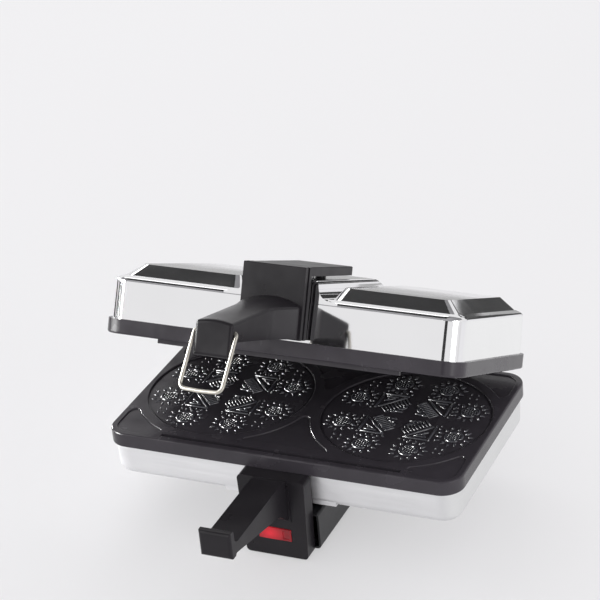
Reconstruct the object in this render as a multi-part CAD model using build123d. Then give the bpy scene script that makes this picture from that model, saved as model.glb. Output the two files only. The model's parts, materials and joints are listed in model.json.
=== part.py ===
from build123d import *
import os
from math import cos, radians, sin, tan

# An electric krumkake iron: two cast baking plates between stamped steel pans, a moulded
# handle on each half, a leg at the front and a hinge leg at the back on a steel channel.
#
# Frame: +X to the right along the front edge, +Y to the back, +Z up from the table.
# Everything is drawn about the centre of the baking plates with the lid shut.
# The lid is then turned to its rest angle, and the whole is moved along Y so that
# the origin is the middle of the outline on the table.  Sizes are in millimetres.

# ---- baking plates
PLATE_WIDTH = 278.0
PLATE_DEPTH = 160.0
PLATE_CORNER_R = 16.0
PLATE_RIM = 11.0            # height of the rim
PLATE_WEB = 7.0             # thickness behind the baking face
RIM_WALL = 10.0             # thickness of the rim wall
RIM_EDGE_R = 1.6
BAKING_HEIGHT = 78.5        # lower baking face above the table
PLATE_GAP = 0.5             # between the two faces when shut
DISC_DIAMETER = 127.0       # a five inch wafer
DISC_PITCH = 142.0          # between the two disc centres
DISC_DEPTH = 1.2
DISC_RING_WIDTH = 1.6
DISC_RING_DEPTH = 0.7
BAND_R = 71.2               # raised band round each disc
POCKET_DEPTH = 1.2
POCKET_INSET = 5.0          # from the outside of the plate
POCKET_START_X = 97.0
POCKET_START_Y = 39.0
CENTRE_POCKET_HALF = 33.0
CENTRE_POCKET_NEAR = 20.0
CENTRE_POCKET_FAR = 62.0
POCKET_BEND_R = 3.0         # where a band's arc meets a pocket's straight side
SHOULDER_R = 0.8            # rounded edge of the discs and pockets
DIMPLE_PLACE = (-35.0, -65.0)
DIMPLE_R = 2.2
DIMPLE_DEPTH = 0.5
GUARD_LENGTH = 188.0        # steam guard lip along the front of the upper plate
GUARD_THICKNESS = 2.4
GUARD_DROP = 3.4
GUARD_INSET = 5.6           # from the front edge of the plate
GUARD_CLEARANCE = 0.6

# ---- stamped pans
PAN_INSET = 2.2             # pan wall behind the edge of the plate
PAN_CORNER_R = 15.0
PAN_DRAFT = 1.6             # degrees
SHEET = 1.0
LOWER_PAN_HEIGHT = 25.5
LOWER_PAN_EDGE_R = 6.0
LOWER_RIDGE = 9.0           # central ridge proud of the pan's floor
UPPER_PAN_HEIGHT = 32.1
UPPER_PAN_EDGE_R = 3.5
UPPER_PAN_CROWN = 2.2       # rise of the pan's sloping shoulder
CROWN_SLOPE = 20.0          # degrees
UPPER_RIDGE = 12.4
RIDGE_HALF = 29.0
RIDGE_ROOT_R = 11.0
RIDGE_CREST_R = 4.0
RIDGE_FALL_R = 12.0         # where the ridge's top turns down at the back
RIDGE_FLAT_END = 38.0       # where the upper ridge starts to fall away at the back
RIDGE_END = 68.0
POD_HEIGHT = 8.7            # raised panels beside the upper ridge
POD_INNER = 36.0
POD_EDGE = 7.6              # ledge left outside the panel
POD_SLOPE = 9.6             # run of the panel's sloping border
POD_INNER_SLOPE = 5.0
POD_CORNER_R = 8.0
POD_TOP_CORNER_R = 6.0

# ---- hinge
HINGE_BEHIND = 12.0         # axis behind the back edge of the plates
HINGE_ABOVE = 6.0           # axis above the lower baking face
HINGE_PIN_R = 2.5
HINGE_PLAY = 0.05
HINGE_SIDE_GAP = 0.5
EAR_OUTER = 27.0
EAR_THICKNESS = 7.0
EAR_R = 8.0
KNUCKLE_THICKNESS = 3.0
KNUCKLE_R = 6.0
BRACKET_SHEET = 2.0
BRACKET_HEIGHT = 20.0
BRACKET_LIFT = 4.0          # bracket foot above the pan's open edge
BRACKET_SEAT = 0.05         # bracket to pan wall
LID_REST = 26.0             # degrees that the lid stands open at rest

# ---- legs and channel
LEG_TOP_HALF = 26.5
LEG_BOTTOM_HALF = 24.5
LEG_FRONT_PROUD = 11.0      # leg's front face ahead of the plate
LEG_GROUND_GAP = 1.2
LEG_WALL = 2.6
LEG_FOOT_R = 3.0
LEG_SHOULDER_R = 4.0
REAR_LEG_BEHIND = 7.4       # leg's back face behind the cable's axis
SEAT_GAP = 0.3              # moulding to pan wall
CHANNEL_HALF = 29.5
CHANNEL_FLOOR = 3.5
CHANNEL_SHEET = 1.5
CHANNEL_FLANGE = 14.0
FOOT_R = 5.0
FOOT_SPREAD = 17.0
FOOT_SEAT_DEPTH = 1.0
SHELF_HEIGHT = 5.0          # moulded shelf that reaches into the channel
SHELF_REACH = 15.0
SHELF_SCREW_X = 12.0
CHANNEL_BOLT_X = 19.0
CHANNEL_BOLT_Y = 50.0
LEG_SCREW_X = 20.0
LEG_SCREW_DROP = 11.0       # screw below the pan's top edge

# ---- handles
ARM_END = 102.5             # arm's end face ahead of the plate
CAP_THICKNESS = 6.5
CAP_CORNER_R = 2.5
LOWER_ARM_HALF = 12.2
LOWER_ARM_DROP = 10.0       # arm's top below the lower baking face
LOWER_CAP_RISE = 1.0        # end cap's top above the lower baking face
LOWER_CAP_DROP = 19.5       # end cap's bottom below it
LOWER_ARM_TIP = 7.5         # thickness of the arm behind the end cap
LOWER_ROOT_DROP = 33.0      # arm's underside near the leg
LOWER_GUSSET_DROP = 44.0
ROOT_PAD_HALF = 14.0
UPPER_ARM_HALF = 13.8
UPPER_CAP_RISE = 28.5       # heights of the shut upper handle above the lower baking face
UPPER_CAP_LOW = 3.5
UPPER_ARM_LOW = 14.5
UPPER_ROOT_RISE = 43.0
UPPER_CROWN = 6.0           # sagitta of the arm's rounded top across the flare
BLOCK_LOW = 13.5
BLOCK_RISE = 65.0
FLARE_HALF = 22.5
FLARE_LENGTH = 30.0
BLOCK_HALF = 24.0
BLOCK_DEPTH = 12.9
BLOCK_RIB = 1.2
BEAM_HALF = 22.0
BEAM_THICKNESS = 6.6
BEAM_LENGTH = 92.0
BEAM_FILLET = 2.5
BEAM_SCREW_REACH = (41.0, 83.0)  # behind the block's front

# ---- latch bail
WIRE_R = 1.3
BAIL_SIDE_GAP = 0.4
BAIL_PIVOT_RISE = 20.5      # pivot above the lower baking face when shut
BAIL_PIVOT_BACK = 4.5       # pivot behind the cap's end face
BAIL_HOOK_GAP = 0.5
BAIL_CORNER_R = 4.5
BAIL_BOW = 0.6              # how far the hook's middle bows down
BAIL_PIN_LENGTH = 6.0
BAIL_REST = 23.0            # degrees that the bail stands forward of latched

# ---- indicator
LENS_WIDTH = 26.0
LENS_HEIGHT = 10.4
LENS_CENTRE_Z = 20.3
LENS_PROUD = 0.8
LENS_FLANGE = 1.6
LENS_FIT = 0.15
LENS_RIM = 1.4              # thickness of the flange behind the leg's wall
LENS_PANEL_INSET = 1.6      # border round the small inset panel
LENS_PANEL_WIDTH = 4.9
LAMP_R = 3.0
LAMP_LENGTH = 15.0
LAMP_GAP = 0.8              # lamp behind the window

# ---- heating and wiring
TUBE_R = 3.3
ELEMENT_X = 88.0
ELEMENT_Y = 42.0
ELEMENT_BEND_R = 16.0
ELEMENT_GATE = 17.0         # half distance between the two cold ends
ELEMENT_END_Y = 60.0
PIN_R = 1.2
PIN_LENGTH = 7.0
CLAMP_X = 52.0
CLAMP_EAR = 9.0             # screw ahead of the tube's axis
CLAMP_WIDTH = 11.0
CLAMP_SHEET = 1.2
CLAMP_LIP = 3.0
ELEMENT_SEAT = 0.1          # tube to the back of the web
SCREW_R = 2.0
SCREW_HEAD_R = 3.7
SCREW_HEAD = 2.2
THREAD_FIT = 0.05
HOLE_FIT = 0.3
BOSS_R = 5.0
TIE_X = 112.0
TIE_Y = 54.0
SHIELD_DROP = 13.0          # shield below the back of the web
SHIELD_SHEET = 0.6
THERMOSTAT_R = 8.5
THERMOSTAT_HEIGHT = 9.0
THERMOSTAT_EAR = 13.0
THERMOSTAT_HOLE = 4.0
SMALL_SCREW_R = 1.5
FUSE_R = 2.2
FUSE_LENGTH = 12.0
TERMINAL_WIDTH = 28.0
TERMINAL_DEPTH = 16.0
TERMINAL_HEIGHT = 12.0
TERMINAL_Y = 34.0
PORT_PITCH = 6.0
PORT_R = 1.5
PORT_WALL = 0.8             # brass insert and its fit
WIRE_HOLE_Y = 28.0
WIRE_HOLE_R = 8.0
LEAD_R = 1.2
LEAD_GAP = 0.1              # lead end to what it leads to
LEAD_LIFT = 7.0             # leads above the lower pan's floor
SLEEVE_R = 3.4
SLEEVE_BEHIND_PIN = 0.7     # gap between the cable and the pin
SLEEVE_SEAT = 3.5           # cable end below the pan's top edge, in the leg
SLEEVE_BEND_R = 18.0
SLEEVE_PAN_HEIGHT = 12.5    # hole in the pan's back wall above its open edge
GLAND_R = 6.0
GLAND_FLANGE_R = 8.5
GLAND_FLANGE = 2.4          # how far the flange stands off the leg
GLAND_BORE_R = 3.6
GLAND_HEIGHT = 24.0
CABLE_REACH = 4.0           # cable end inside the pan's back wall
STRAP_WIDTH = 14.0
STRAP_SHEET = 1.5
STRAP_TAB = 10.0
RIVET_R = 1.6
RIVET_HEAD = 1.4
RIVET_X = 11.0

# ---- derived places
HALF_W = PLATE_WIDTH / 2
HALF_D = PLATE_DEPTH / 2
PAN_HALF_W = HALF_W - PAN_INSET
PAN_HALF_D = HALF_D - PAN_INSET
RIM_BOTTOM = BAKING_HEIGHT - PLATE_RIM
UPPER_FACE = BAKING_HEIGHT + PLATE_GAP
UPPER_RIM_TOP = UPPER_FACE + PLATE_RIM
PAN_FLOOR = RIM_BOTTOM - LOWER_PAN_HEIGHT
RIDGE_BOTTOM = PAN_FLOOR - LOWER_RIDGE
HINGE_Y = HALF_D + HINGE_BEHIND
HINGE_Z = BAKING_HEIGHT + HINGE_ABOVE
LEG_FRONT = -(HALF_D + LEG_FRONT_PROUD)
LEG_BACK = -(PAN_HALF_D + SEAT_GAP)
REAR_FRONT = PAN_HALF_D + SEAT_GAP
LEG_SCREW_Z = RIM_BOTTOM - LEG_SCREW_DROP
SLEEVE_START_Z = RIM_BOTTOM - SLEEVE_SEAT
SLEEVE_Y = HINGE_Y + HINGE_PIN_R + SLEEVE_R + SLEEVE_BEHIND_PIN
REAR_BACK = SLEEVE_Y + REAR_LEG_BEHIND
LOWER_ARM_TOP = BAKING_HEIGHT - LOWER_ARM_DROP
LOWER_CAP_TOP = BAKING_HEIGHT + LOWER_CAP_RISE
LOWER_CAP_BOTTOM = BAKING_HEIGHT - LOWER_CAP_DROP
LOWER_ARM_ROOT = BAKING_HEIGHT - LOWER_ROOT_DROP
LOWER_GUSSET = BAKING_HEIGHT - LOWER_GUSSET_DROP
UPPER_CAP_TOP = BAKING_HEIGHT + UPPER_CAP_RISE
UPPER_CAP_BOTTOM = BAKING_HEIGHT + UPPER_CAP_LOW
UPPER_ARM_UNDER = BAKING_HEIGHT + UPPER_ARM_LOW
UPPER_ARM_ROOT_TOP = BAKING_HEIGHT + UPPER_ROOT_RISE
BLOCK_BOTTOM = BAKING_HEIGHT + BLOCK_LOW
BLOCK_TOP = BAKING_HEIGHT + BLOCK_RISE
BAIL_PIVOT_HEIGHT = BAKING_HEIGHT + BAIL_PIVOT_RISE
CAP_FRONT = -(HALF_D + ARM_END)
CAP_BACK = CAP_FRONT + CAP_THICKNESS
BAIL_Y = CAP_FRONT + BAIL_PIVOT_BACK
BAIL_HALF = UPPER_ARM_HALF + BAIL_SIDE_GAP + WIRE_R
BAIL_LENGTH = BAIL_PIVOT_HEIGHT - LOWER_CAP_BOTTOM + WIRE_R + BAIL_HOOK_GAP + BAIL_BOW
BLOCK_BACK = -(PAN_HALF_D + SEAT_GAP)
BLOCK_FRONT = BLOCK_BACK - BLOCK_DEPTH
BEAM_SCREW_Y = [BLOCK_FRONT + reach for reach in BEAM_SCREW_REACH]
LID_RIDGE_TOP = UPPER_RIM_TOP + UPPER_PAN_HEIGHT + UPPER_RIDGE
WEB_BACK = BAKING_HEIGHT - PLATE_WEB
SHIELD_TOP = WEB_BACK - SHIELD_DROP
CABLE_Z = UPPER_RIM_TOP + SLEEVE_PAN_HEIGHT
FRAME_SHIFT_Y = (HALF_D + ARM_END - REAR_BACK - GLAND_FLANGE) / 2


# ---------------------------------------------------------------- helpers
def span_box(x, y, z):
    """Box between two values on each axis."""
    size = [b - a for a, b in (x, y, z)]
    middle = [(a + b) / 2 for a, b in (x, y, z)]
    return Pos(*middle) * Box(*size)


def rod(start, direction, length, radius):
    """Round bar from a start point along a direction."""
    return extrude(Plane(start, z_dir=direction) * Circle(radius), length)


def rounded_edges(corners, closed):
    """Lines and arcs through (u, v, radius) corners, each rounded by its own radius."""
    count = len(corners)
    bends = []
    for i, (u, v, radius) in enumerate(corners):
        here = Vector(u, v)
        at_end = not closed and i in (0, count - 1)
        if at_end or not radius:
            bends.append((here, here, here))
            continue
        back = (Vector(*corners[i - 1][:2]) - here).normalized()
        ahead = (Vector(*corners[(i + 1) % count][:2]) - here).normalized()
        half = radians(back.get_angle(ahead)) / 2
        reach = radius / tan(half)
        middle = here + (back + ahead).normalized() * (radius / sin(half) - radius)
        bends.append((here + back * reach, middle, here + ahead * reach))
    edges = []
    for i, (start, middle, end) in enumerate(bends):
        if (end - start).length:
            edges.append(ThreePointArc(start, middle, end))
        if closed or i < count - 1:
            edges.append(Line(end, bends[(i + 1) % count][0]))
    return edges


def outline(corners):
    """Closed face through rounded corners."""
    return make_face(rounded_edges(corners, True))


def side_profile(corners, x_from, x_to):
    """Solid with an outline in Y and Z, between two X values."""
    return extrude(Plane.YZ.offset(x_from) * outline(corners), x_to - x_from)


def front_profile(corners, y_from, y_to):
    """Solid with an outline in X and Z, between two Y values."""
    return extrude(Plane.XZ.offset(-y_to) * outline(corners), y_to - y_from)


def bent_tube(points, bend_radius, radius):
    """Round bar along straight runs joined by arcs."""
    route = FilletPolyline(*points, radius=bend_radius)
    return sweep(Plane(route @ 0, z_dir=route % 0) * Circle(radius), path=route)


def ring(start, direction, length, outer, inner):
    """Round tube or washer."""
    return rod(start, direction, length, outer) - rod(start, direction, length, inner)


def screw(head, direction, length, radius=SCREW_R, head_radius=SCREW_HEAD_R, head_height=SCREW_HEAD):
    """Pan head screw: head outside the start point, shank along the direction."""
    away = Vector(*direction)
    shank = rod(head, direction, length, radius)
    cap = rod(Vector(*head) - away * head_height, direction, head_height, head_radius)
    slot = Plane(Vector(*head) - away * head_height, z_dir=direction) * Rectangle(head_radius * 1.5, 0.9)
    return shank + cap - extrude(slot, head_height / 2)


def four(x, y):
    """The four places at plus and minus x and y."""
    return [(sx * x, sy * y) for sx in (-1, 1) for sy in (-1, 1)]


def opened(shape):
    """Turn a piece of the shut lid to its rest angle."""
    return Pos(0, HINGE_Y, HINGE_Z) * Rot(-LID_REST, 0, 0) * Pos(0, -HINGE_Y, -HINGE_Z) * shape


NODES = {}


def keep(name, shape):
    """Name a finished piece and move it to the part's frame."""
    NODES[name] = Pos(0, FRAME_SHIFT_Y, 0) * shape


# ---------------------------------------------------------------- baking plates
def plate_casting():
    """Plate with its baking face up at z = 0 and its rim hanging down."""
    body = extrude(RectangleRounded(PLATE_WIDTH, PLATE_DEPTH, PLATE_CORNER_R), -PLATE_RIM)
    body = fillet(body.faces().sort_by(Axis.Z)[-1].edges(), RIM_EDGE_R)
    hollow = RectangleRounded(PLATE_WIDTH - 2 * RIM_WALL, PLATE_DEPTH - 2 * RIM_WALL, PLATE_CORNER_R - 8)
    body -= extrude(Plane.XY.offset(-PLATE_WEB) * hollow, -PLATE_RIM)
    for side in (-1, 1):
        centre = Pos(side * DISC_PITCH / 2, 0, 0)
        disc_r = DISC_DIAMETER / 2
        body -= centre * extrude(Circle(disc_r), -DISC_DEPTH)
        groove = Circle(disc_r) - Circle(disc_r - DISC_RING_WIDTH)
        body -= centre * extrude(groove, -DISC_DEPTH - DISC_RING_DEPTH)
    body -= extrude(pocket_sketch(), -POCKET_DEPTH)
    face = body.faces().filter_by(Plane.XY).filter_by_position(Axis.Z, -0.001, 0.001)[0]
    body = fillet([edge for loop in face.inner_wires() for edge in loop.edges()], SHOULDER_R)
    for x, y in four(TIE_X, TIE_Y):
        body += rod((x, y, -PLATE_WEB), (0, 0, -1), SHIELD_DROP, BOSS_R)
        body -= rod((x, y, -PLATE_WEB - SHIELD_DROP), (0, 0, 1), SHIELD_DROP - 2, SCREW_R + THREAD_FIT)
    clamp_boss = 2 * (TUBE_R + ELEMENT_SEAT)
    for x, y in clamp_screws():
        body += rod((x, y, -PLATE_WEB), (0, 0, -1), clamp_boss, BOSS_R - 1)
        body -= rod((x, y, -PLATE_WEB - clamp_boss), (0, 0, 1), clamp_boss - 1, SCREW_R + THREAD_FIT)
    for side in (-1, 1):
        small_hole = SMALL_SCREW_R + THREAD_FIT
        body -= rod((side * THERMOSTAT_EAR, 0, -PLATE_WEB), (0, 0, 1), THERMOSTAT_HOLE, small_hole)
    return body


def pocket_sketch():
    """Shallow pockets left between the raised bands and the rim."""
    corner_w = HALF_W - POCKET_INSET - POCKET_START_X
    corner_d = HALF_D - POCKET_INSET - POCKET_START_Y
    pockets = Sketch()
    for x, y in four(POCKET_START_X + corner_w / 2, POCKET_START_Y + corner_d / 2):
        pockets += Pos(x, y) * RectangleRounded(corner_w, corner_d, PLATE_CORNER_R - POCKET_INSET)
    centre_d = CENTRE_POCKET_FAR - CENTRE_POCKET_NEAR
    for side in (-1, 1):
        centre_y = side * (CENTRE_POCKET_NEAR + centre_d / 2)
        pockets += Pos(0, centre_y) * Rectangle(2 * CENTRE_POCKET_HALF, centre_d)
    for side in (-1, 1):
        pockets -= Pos(side * DISC_PITCH / 2, 0) * Circle(BAND_R)
    return fillet([corner for corner in pockets.vertices() if on_band(corner)], POCKET_BEND_R)


def on_band(point):
    """Whether a point lies on the outer edge of a disc's raised band."""
    from_centre = Vector(abs(point.X) - DISC_PITCH / 2, point.Y).length
    return abs(from_centre - BAND_R) < 0.01


def clamp_screws():
    """Screw places beside the element's two long runs."""
    ahead = ELEMENT_Y - CLAMP_EAR
    return four(CLAMP_X, ahead)


def guard_places():
    """Front edge and back edge of the steam guard, and of the slot that takes it."""
    front = -HALF_D + GUARD_INSET
    return front, front + GUARD_THICKNESS


def lower_plate():
    front, back = guard_places()
    half = GUARD_LENGTH / 2 + GUARD_CLEARANCE
    slot = span_box((-half, half), (front - GUARD_CLEARANCE, back + GUARD_CLEARANCE),
                    (-GUARD_DROP - GUARD_CLEARANCE, 1))
    ball_r = (DIMPLE_R ** 2 + DIMPLE_DEPTH ** 2) / (2 * DIMPLE_DEPTH)
    dimple = Pos(*DIMPLE_PLACE, ball_r - DIMPLE_DEPTH) * Sphere(ball_r)
    return Pos(0, 0, BAKING_HEIGHT) * (plate_casting() - slot - dimple)


def upper_plate():
    front, back = guard_places()
    half = GUARD_LENGTH / 2
    lip = span_box((-half, half), (front, back), (-GUARD_DROP, 1))
    casting = Rot(180, 0, 0) * plate_casting()
    return Pos(0, 0, UPPER_FACE) * (casting + lip)


# ---------------------------------------------------------------- stamped pans
def ridge_form(wall, crown, rise, inset, flat_end, end):
    """Central ridge that runs from the front wall towards the back."""
    top = wall + rise - inset
    half = RIDGE_HALF - inset
    root = RIDGE_ROOT_R + inset
    foot = half + root + 4
    crest_r = RIDGE_CREST_R - inset
    edge = wall - crown - inset
    section = [(-foot, 2, 0), (foot, 2, 0), (foot, edge, 0), (half + 1, wall - inset, root * 0.8),
               (half - 1, top, crest_r), (1 - half, top, crest_r), (-half - 1, wall - inset, root * 0.8),
               (-foot, edge, 0)]
    front = -(PAN_HALF_D - (wall * tan(radians(PAN_DRAFT))) - inset)
    length = [(front, 2, 0), (end - inset, 2, 0), (end - inset, wall - inset, 0),
              (flat_end - inset, top, RIDGE_FALL_R), (front, top, crest_r)]
    return front_profile(section, front, end) & side_profile(length, -foot, foot)


def pod_form(wall, inset):
    """Raised panel with sloping borders, right of the ridge."""
    x0 = POD_INNER + inset
    x1 = PAN_HALF_W - POD_EDGE - inset
    depth = 2 * (PAN_HALF_D - POD_EDGE - inset)
    top_x0 = x0 + POD_INNER_SLOPE
    top_x1 = x1 - POD_SLOPE
    base = Pos((x0 + x1) / 2, 0, wall - inset - 2) * RectangleRounded(x1 - x0, depth, POD_CORNER_R)
    step = Pos((x0 + x1) / 2, 0, wall - inset) * RectangleRounded(x1 - x0, depth, POD_CORNER_R)
    crown = Pos((top_x0 + top_x1) / 2, 0, wall + POD_HEIGHT - inset)
    crown *= RectangleRounded(top_x1 - top_x0, depth - 2 * POD_SLOPE, POD_TOP_CORNER_R)
    return loft([step, crown], ruled=True) + extrude(base, 2)


def pan_form(wall, crown, rise, edge_r, inset, ridge_ends, pods):
    """Solid form of a pan, open side down at z = 0."""
    width = 2 * (PAN_HALF_W - inset)
    depth = 2 * (PAN_HALF_D - inset)
    edge = wall - crown - inset
    tray = extrude(RectangleRounded(width, depth, PAN_CORNER_R - inset), edge, taper=PAN_DRAFT)
    top = tray.faces().sort_by(Axis.Z)[-1]
    if crown:
        tray += extrude(top, crown, taper=90 - CROWN_SLOPE)
    tray = fillet(tray.edges().filter_by_position(Axis.Z, edge - 0.01, edge + 0.01), edge_r - inset)
    form = tray + ridge_form(wall, crown, rise, inset, *ridge_ends)
    if pods:
        pod = pod_form(wall, inset)
        form += pod
        form += mirror(pod, Plane.YZ)
    return form


def pan_shell(wall, crown, rise, edge_r, ridge_ends, pods):
    """Sheet metal pan: the outer form less the inner form."""
    outer = pan_form(wall, crown, rise, edge_r, 0, ridge_ends, pods)
    inner = pan_form(wall, crown, rise, edge_r, SHEET, ridge_ends, pods)
    return outer - inner


def lower_pan():
    """Lower pan with its bolt holes and the wire hole in its ridge."""
    straight = PAN_HALF_D - 1.0
    shell = pan_shell(LOWER_PAN_HEIGHT, 0, LOWER_RIDGE, LOWER_PAN_EDGE_R, (straight - 12, straight), False)
    shell = Pos(0, 0, RIM_BOTTOM) * Rot(180, 0, 0) * shell
    for x, y in four(TIE_X, TIE_Y):
        shell -= rod((x, y, PAN_FLOOR - 1), (0, 0, 1), SHEET + 2, SCREW_R + HOLE_FIT)
    for x, y in four(CHANNEL_BOLT_X, CHANNEL_BOLT_Y):
        shell -= rod((x, y, RIDGE_BOTTOM - 1), (0, 0, 1), SHEET + 2, SCREW_R + HOLE_FIT)
    shell -= rod((0, WIRE_HOLE_Y, RIDGE_BOTTOM - 1), (0, 0, 1), SHEET + 2, WIRE_HOLE_R)
    for x in (-LEG_SCREW_X, LEG_SCREW_X):
        shell -= rod((x, -PAN_HALF_D - 1, LEG_SCREW_Z), (0, 1, 0), SHEET + 3, SCREW_R + HOLE_FIT)
    return shell


def upper_pan():
    """Upper pan: ridge, two raised panels, and holes for the handle, bracket and cable."""
    shell = pan_shell(UPPER_PAN_HEIGHT, UPPER_PAN_CROWN, UPPER_RIDGE, UPPER_PAN_EDGE_R,
                      (RIDGE_FLAT_END, RIDGE_END), True)
    shell = Pos(0, 0, UPPER_RIM_TOP) * shell
    for y in BEAM_SCREW_Y:
        shell -= rod((0, y, LID_RIDGE_TOP - SHEET - 1), (0, 0, 1), SHEET + 2, SCREW_R + HOLE_FIT)
    for x, z in bracket_places():
        shell -= rod((x, PAN_HALF_D - SHEET - 3, z), (0, 1, 0), SHEET + 5, RIVET_R + THREAD_FIT)
    shell -= rod((0, PAN_HALF_D - 5, CABLE_Z), (0, 1, 0), 8, SLEEVE_R + HOLE_FIT)
    return shell


# ---------------------------------------------------------------- legs and channel
def leg_face(inset):
    """Outline of a leg seen from the front."""
    bottom = LEG_GROUND_GAP + inset
    top = RIM_BOTTOM - SEAT_GAP - inset
    low = LEG_BOTTOM_HALF - inset
    high = LEG_TOP_HALF - inset
    return [(-low, bottom, LEG_FOOT_R), (low, bottom, LEG_FOOT_R),
            (high, top, LEG_SHOULDER_R), (-high, top, LEG_SHOULDER_R)]


def leg_body(y_front, y_back, open_side):
    """Hollow moulded leg, open towards the channel, with its shelf and foot seats."""
    body = front_profile(leg_face(0), y_front, y_back)
    if open_side > 0:
        hollow = (y_front + LEG_WALL, y_back)
        shelf = (y_front + 1, y_back + SHELF_REACH)
    else:
        hollow = (y_front, y_back - LEG_WALL)
        shelf = (y_front - SHELF_REACH, y_back - 1)
    body -= front_profile(leg_face(LEG_WALL), *hollow)
    half = LEG_BOTTOM_HALF - 0.6
    low = CHANNEL_FLOOR + CHANNEL_SHEET
    body += span_box((-half, half), shelf, (low, low + SHELF_HEIGHT))
    screw_y = y_back + SHELF_REACH / 2 if open_side > 0 else y_front - SHELF_REACH / 2
    for x in (-SHELF_SCREW_X, SHELF_SCREW_X):
        body -= rod((x, screw_y, low), (0, 0, 1), SHELF_HEIGHT, SCREW_R + THREAD_FIT)
    for x in (-FOOT_SPREAD, FOOT_SPREAD):
        seat = Pos(x, (y_front + y_back) / 2, LEG_GROUND_GAP)
        body -= seat * extrude(Circle(FOOT_R + 0.1), FOOT_SEAT_DEPTH)
    return body


def front_leg_handle():
    """Front leg and lower handle arm in one moulding."""
    body = leg_body(LEG_FRONT, LEG_BACK, 1)
    for x in (-LEG_SCREW_X, LEG_SCREW_X):
        body += rod((x, LEG_FRONT + 1, LEG_SCREW_Z), (0, 1, 0), LEG_BACK - LEG_FRONT - 1, BOSS_R - 1)
        body -= rod((x, LEG_BACK, LEG_SCREW_Z), (0, -1, 0), 9, SCREW_R + THREAD_FIT)
    body += lower_arm()
    pad = (LEG_FRONT - 1.2, LEG_FRONT + 1)
    body += span_box((-ROOT_PAD_HALF, ROOT_PAD_HALF), pad, (LOWER_GUSSET - 2, LOWER_ARM_TOP - 6))
    half_w = LENS_WIDTH / 2
    half_h = LENS_HEIGHT / 2
    body -= span_box((-half_w, half_w), (LEG_FRONT - 1, LEG_FRONT + LEG_WALL),
                     (LENS_CENTRE_Z - half_h, LENS_CENTRE_Z + half_h))
    return body


def lower_arm():
    """Flat topped arm with an upturned end cap and a gusset under its root."""
    corners = [(LEG_FRONT + 1, LOWER_ARM_TOP - 1.5, 0), (LEG_FRONT + 1, LOWER_GUSSET, 0),
               (LEG_FRONT - 2, LOWER_GUSSET, 0), (LEG_FRONT - 14, LOWER_ARM_ROOT, 12),
               (CAP_BACK, LOWER_ARM_TOP - LOWER_ARM_TIP, 2), (CAP_BACK, LOWER_CAP_BOTTOM, 0.6),
               (CAP_FRONT, LOWER_CAP_BOTTOM, CAP_CORNER_R), (CAP_FRONT, LOWER_CAP_TOP, CAP_CORNER_R),
               (CAP_BACK, LOWER_CAP_TOP, 2), (CAP_BACK, LOWER_ARM_TOP, 5),
               (LEG_FRONT - 4, LOWER_ARM_TOP, 8)]
    half = LOWER_ARM_HALF
    plan = [(-half, CAP_FRONT, CAP_CORNER_R), (half, CAP_FRONT, CAP_CORNER_R),
            (half, LEG_FRONT + 1, 0), (-half, LEG_FRONT + 1, 0)]
    tall = extrude(Plane.XY.offset(LOWER_GUSSET - 1) * outline(plan), LOWER_CAP_TOP)
    return side_profile(corners, -half - 1, half + 1) & tall


def rear_leg():
    """Back leg with the two hinge ears, the cord inlet hole and the cable hole."""
    body = leg_body(REAR_FRONT, REAR_BACK, -1)
    ear_foot = RIM_BOTTOM - SEAT_GAP - 4
    for side in (-1, 1):
        x0, x1 = sorted((side * (EAR_OUTER - EAR_THICKNESS), side * EAR_OUTER))
        ear = span_box((x0, x1), (HINGE_Y - EAR_R, HINGE_Y + EAR_R), (ear_foot, HINGE_Z))
        body += ear + rod((x0, HINGE_Y, HINGE_Z), (1, 0, 0), EAR_THICKNESS, EAR_R)
    body -= rod((-EAR_OUTER - 1, HINGE_Y, HINGE_Z), (1, 0, 0), 2 * EAR_OUTER + 2, HINGE_PIN_R + 0.02)
    body -= rod((0, SLEEVE_Y, SLEEVE_START_Z), (0, 0, 1), 10, SLEEVE_R + HOLE_FIT)
    body -= rod((0, REAR_BACK + 1, GLAND_HEIGHT), (0, -1, 0), LEG_WALL + 2, GLAND_R + 0.1)
    return body


def base_channel():
    """Folded steel channel with inward top flanges that carries the lower pan."""
    half = CHANNEL_HALF
    outer = [(-half, CHANNEL_FLOOR, 3), (half, CHANNEL_FLOOR, 3),
             (half, RIDGE_BOTTOM, 2), (-half, RIDGE_BOTTOM, 2)]
    inner = half - CHANNEL_SHEET
    low = CHANNEL_FLOOR + CHANNEL_SHEET
    high = RIDGE_BOTTOM - CHANNEL_SHEET
    hollow = [(-inner, low, 1.5), (inner, low, 1.5), (inner, high, 0.5), (-inner, high, 0.5)]
    y0, y1 = LEG_BACK, REAR_FRONT
    channel = front_profile(outer, y0, y1) - front_profile(hollow, y0, y1)
    gap = half - CHANNEL_FLANGE
    channel -= span_box((-gap, gap), (y0, y1), (high - 1, RIDGE_BOTTOM + 1))
    for x, y in four(CHANNEL_BOLT_X, CHANNEL_BOLT_Y):
        channel -= rod((x, y, high - 1), (0, 0, 1), CHANNEL_SHEET + 2, SCREW_R + HOLE_FIT)
    for x, y in shelf_screw_places():
        channel -= rod((x, y, CHANNEL_FLOOR - 1), (0, 0, 1), CHANNEL_SHEET + 2, SCREW_R + HOLE_FIT)
    return channel


def shelf_screw_places():
    reach = SHELF_REACH / 2
    return [(x, y) for x in (-SHELF_SCREW_X, SHELF_SCREW_X) for y in (LEG_BACK + reach, REAR_FRONT - reach)]


def rubber_feet():
    feet = Part()
    for y in ((LEG_FRONT + LEG_BACK) / 2, (REAR_FRONT + REAR_BACK) / 2):
        for x in (-FOOT_SPREAD, FOOT_SPREAD):
            foot = Pos(x, y, 0) * extrude(Circle(FOOT_R), LEG_GROUND_GAP + FOOT_SEAT_DEPTH)
            feet += fillet(foot.faces().sort_by(Axis.Z)[0].edges(), 0.5)
    return feet


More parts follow.
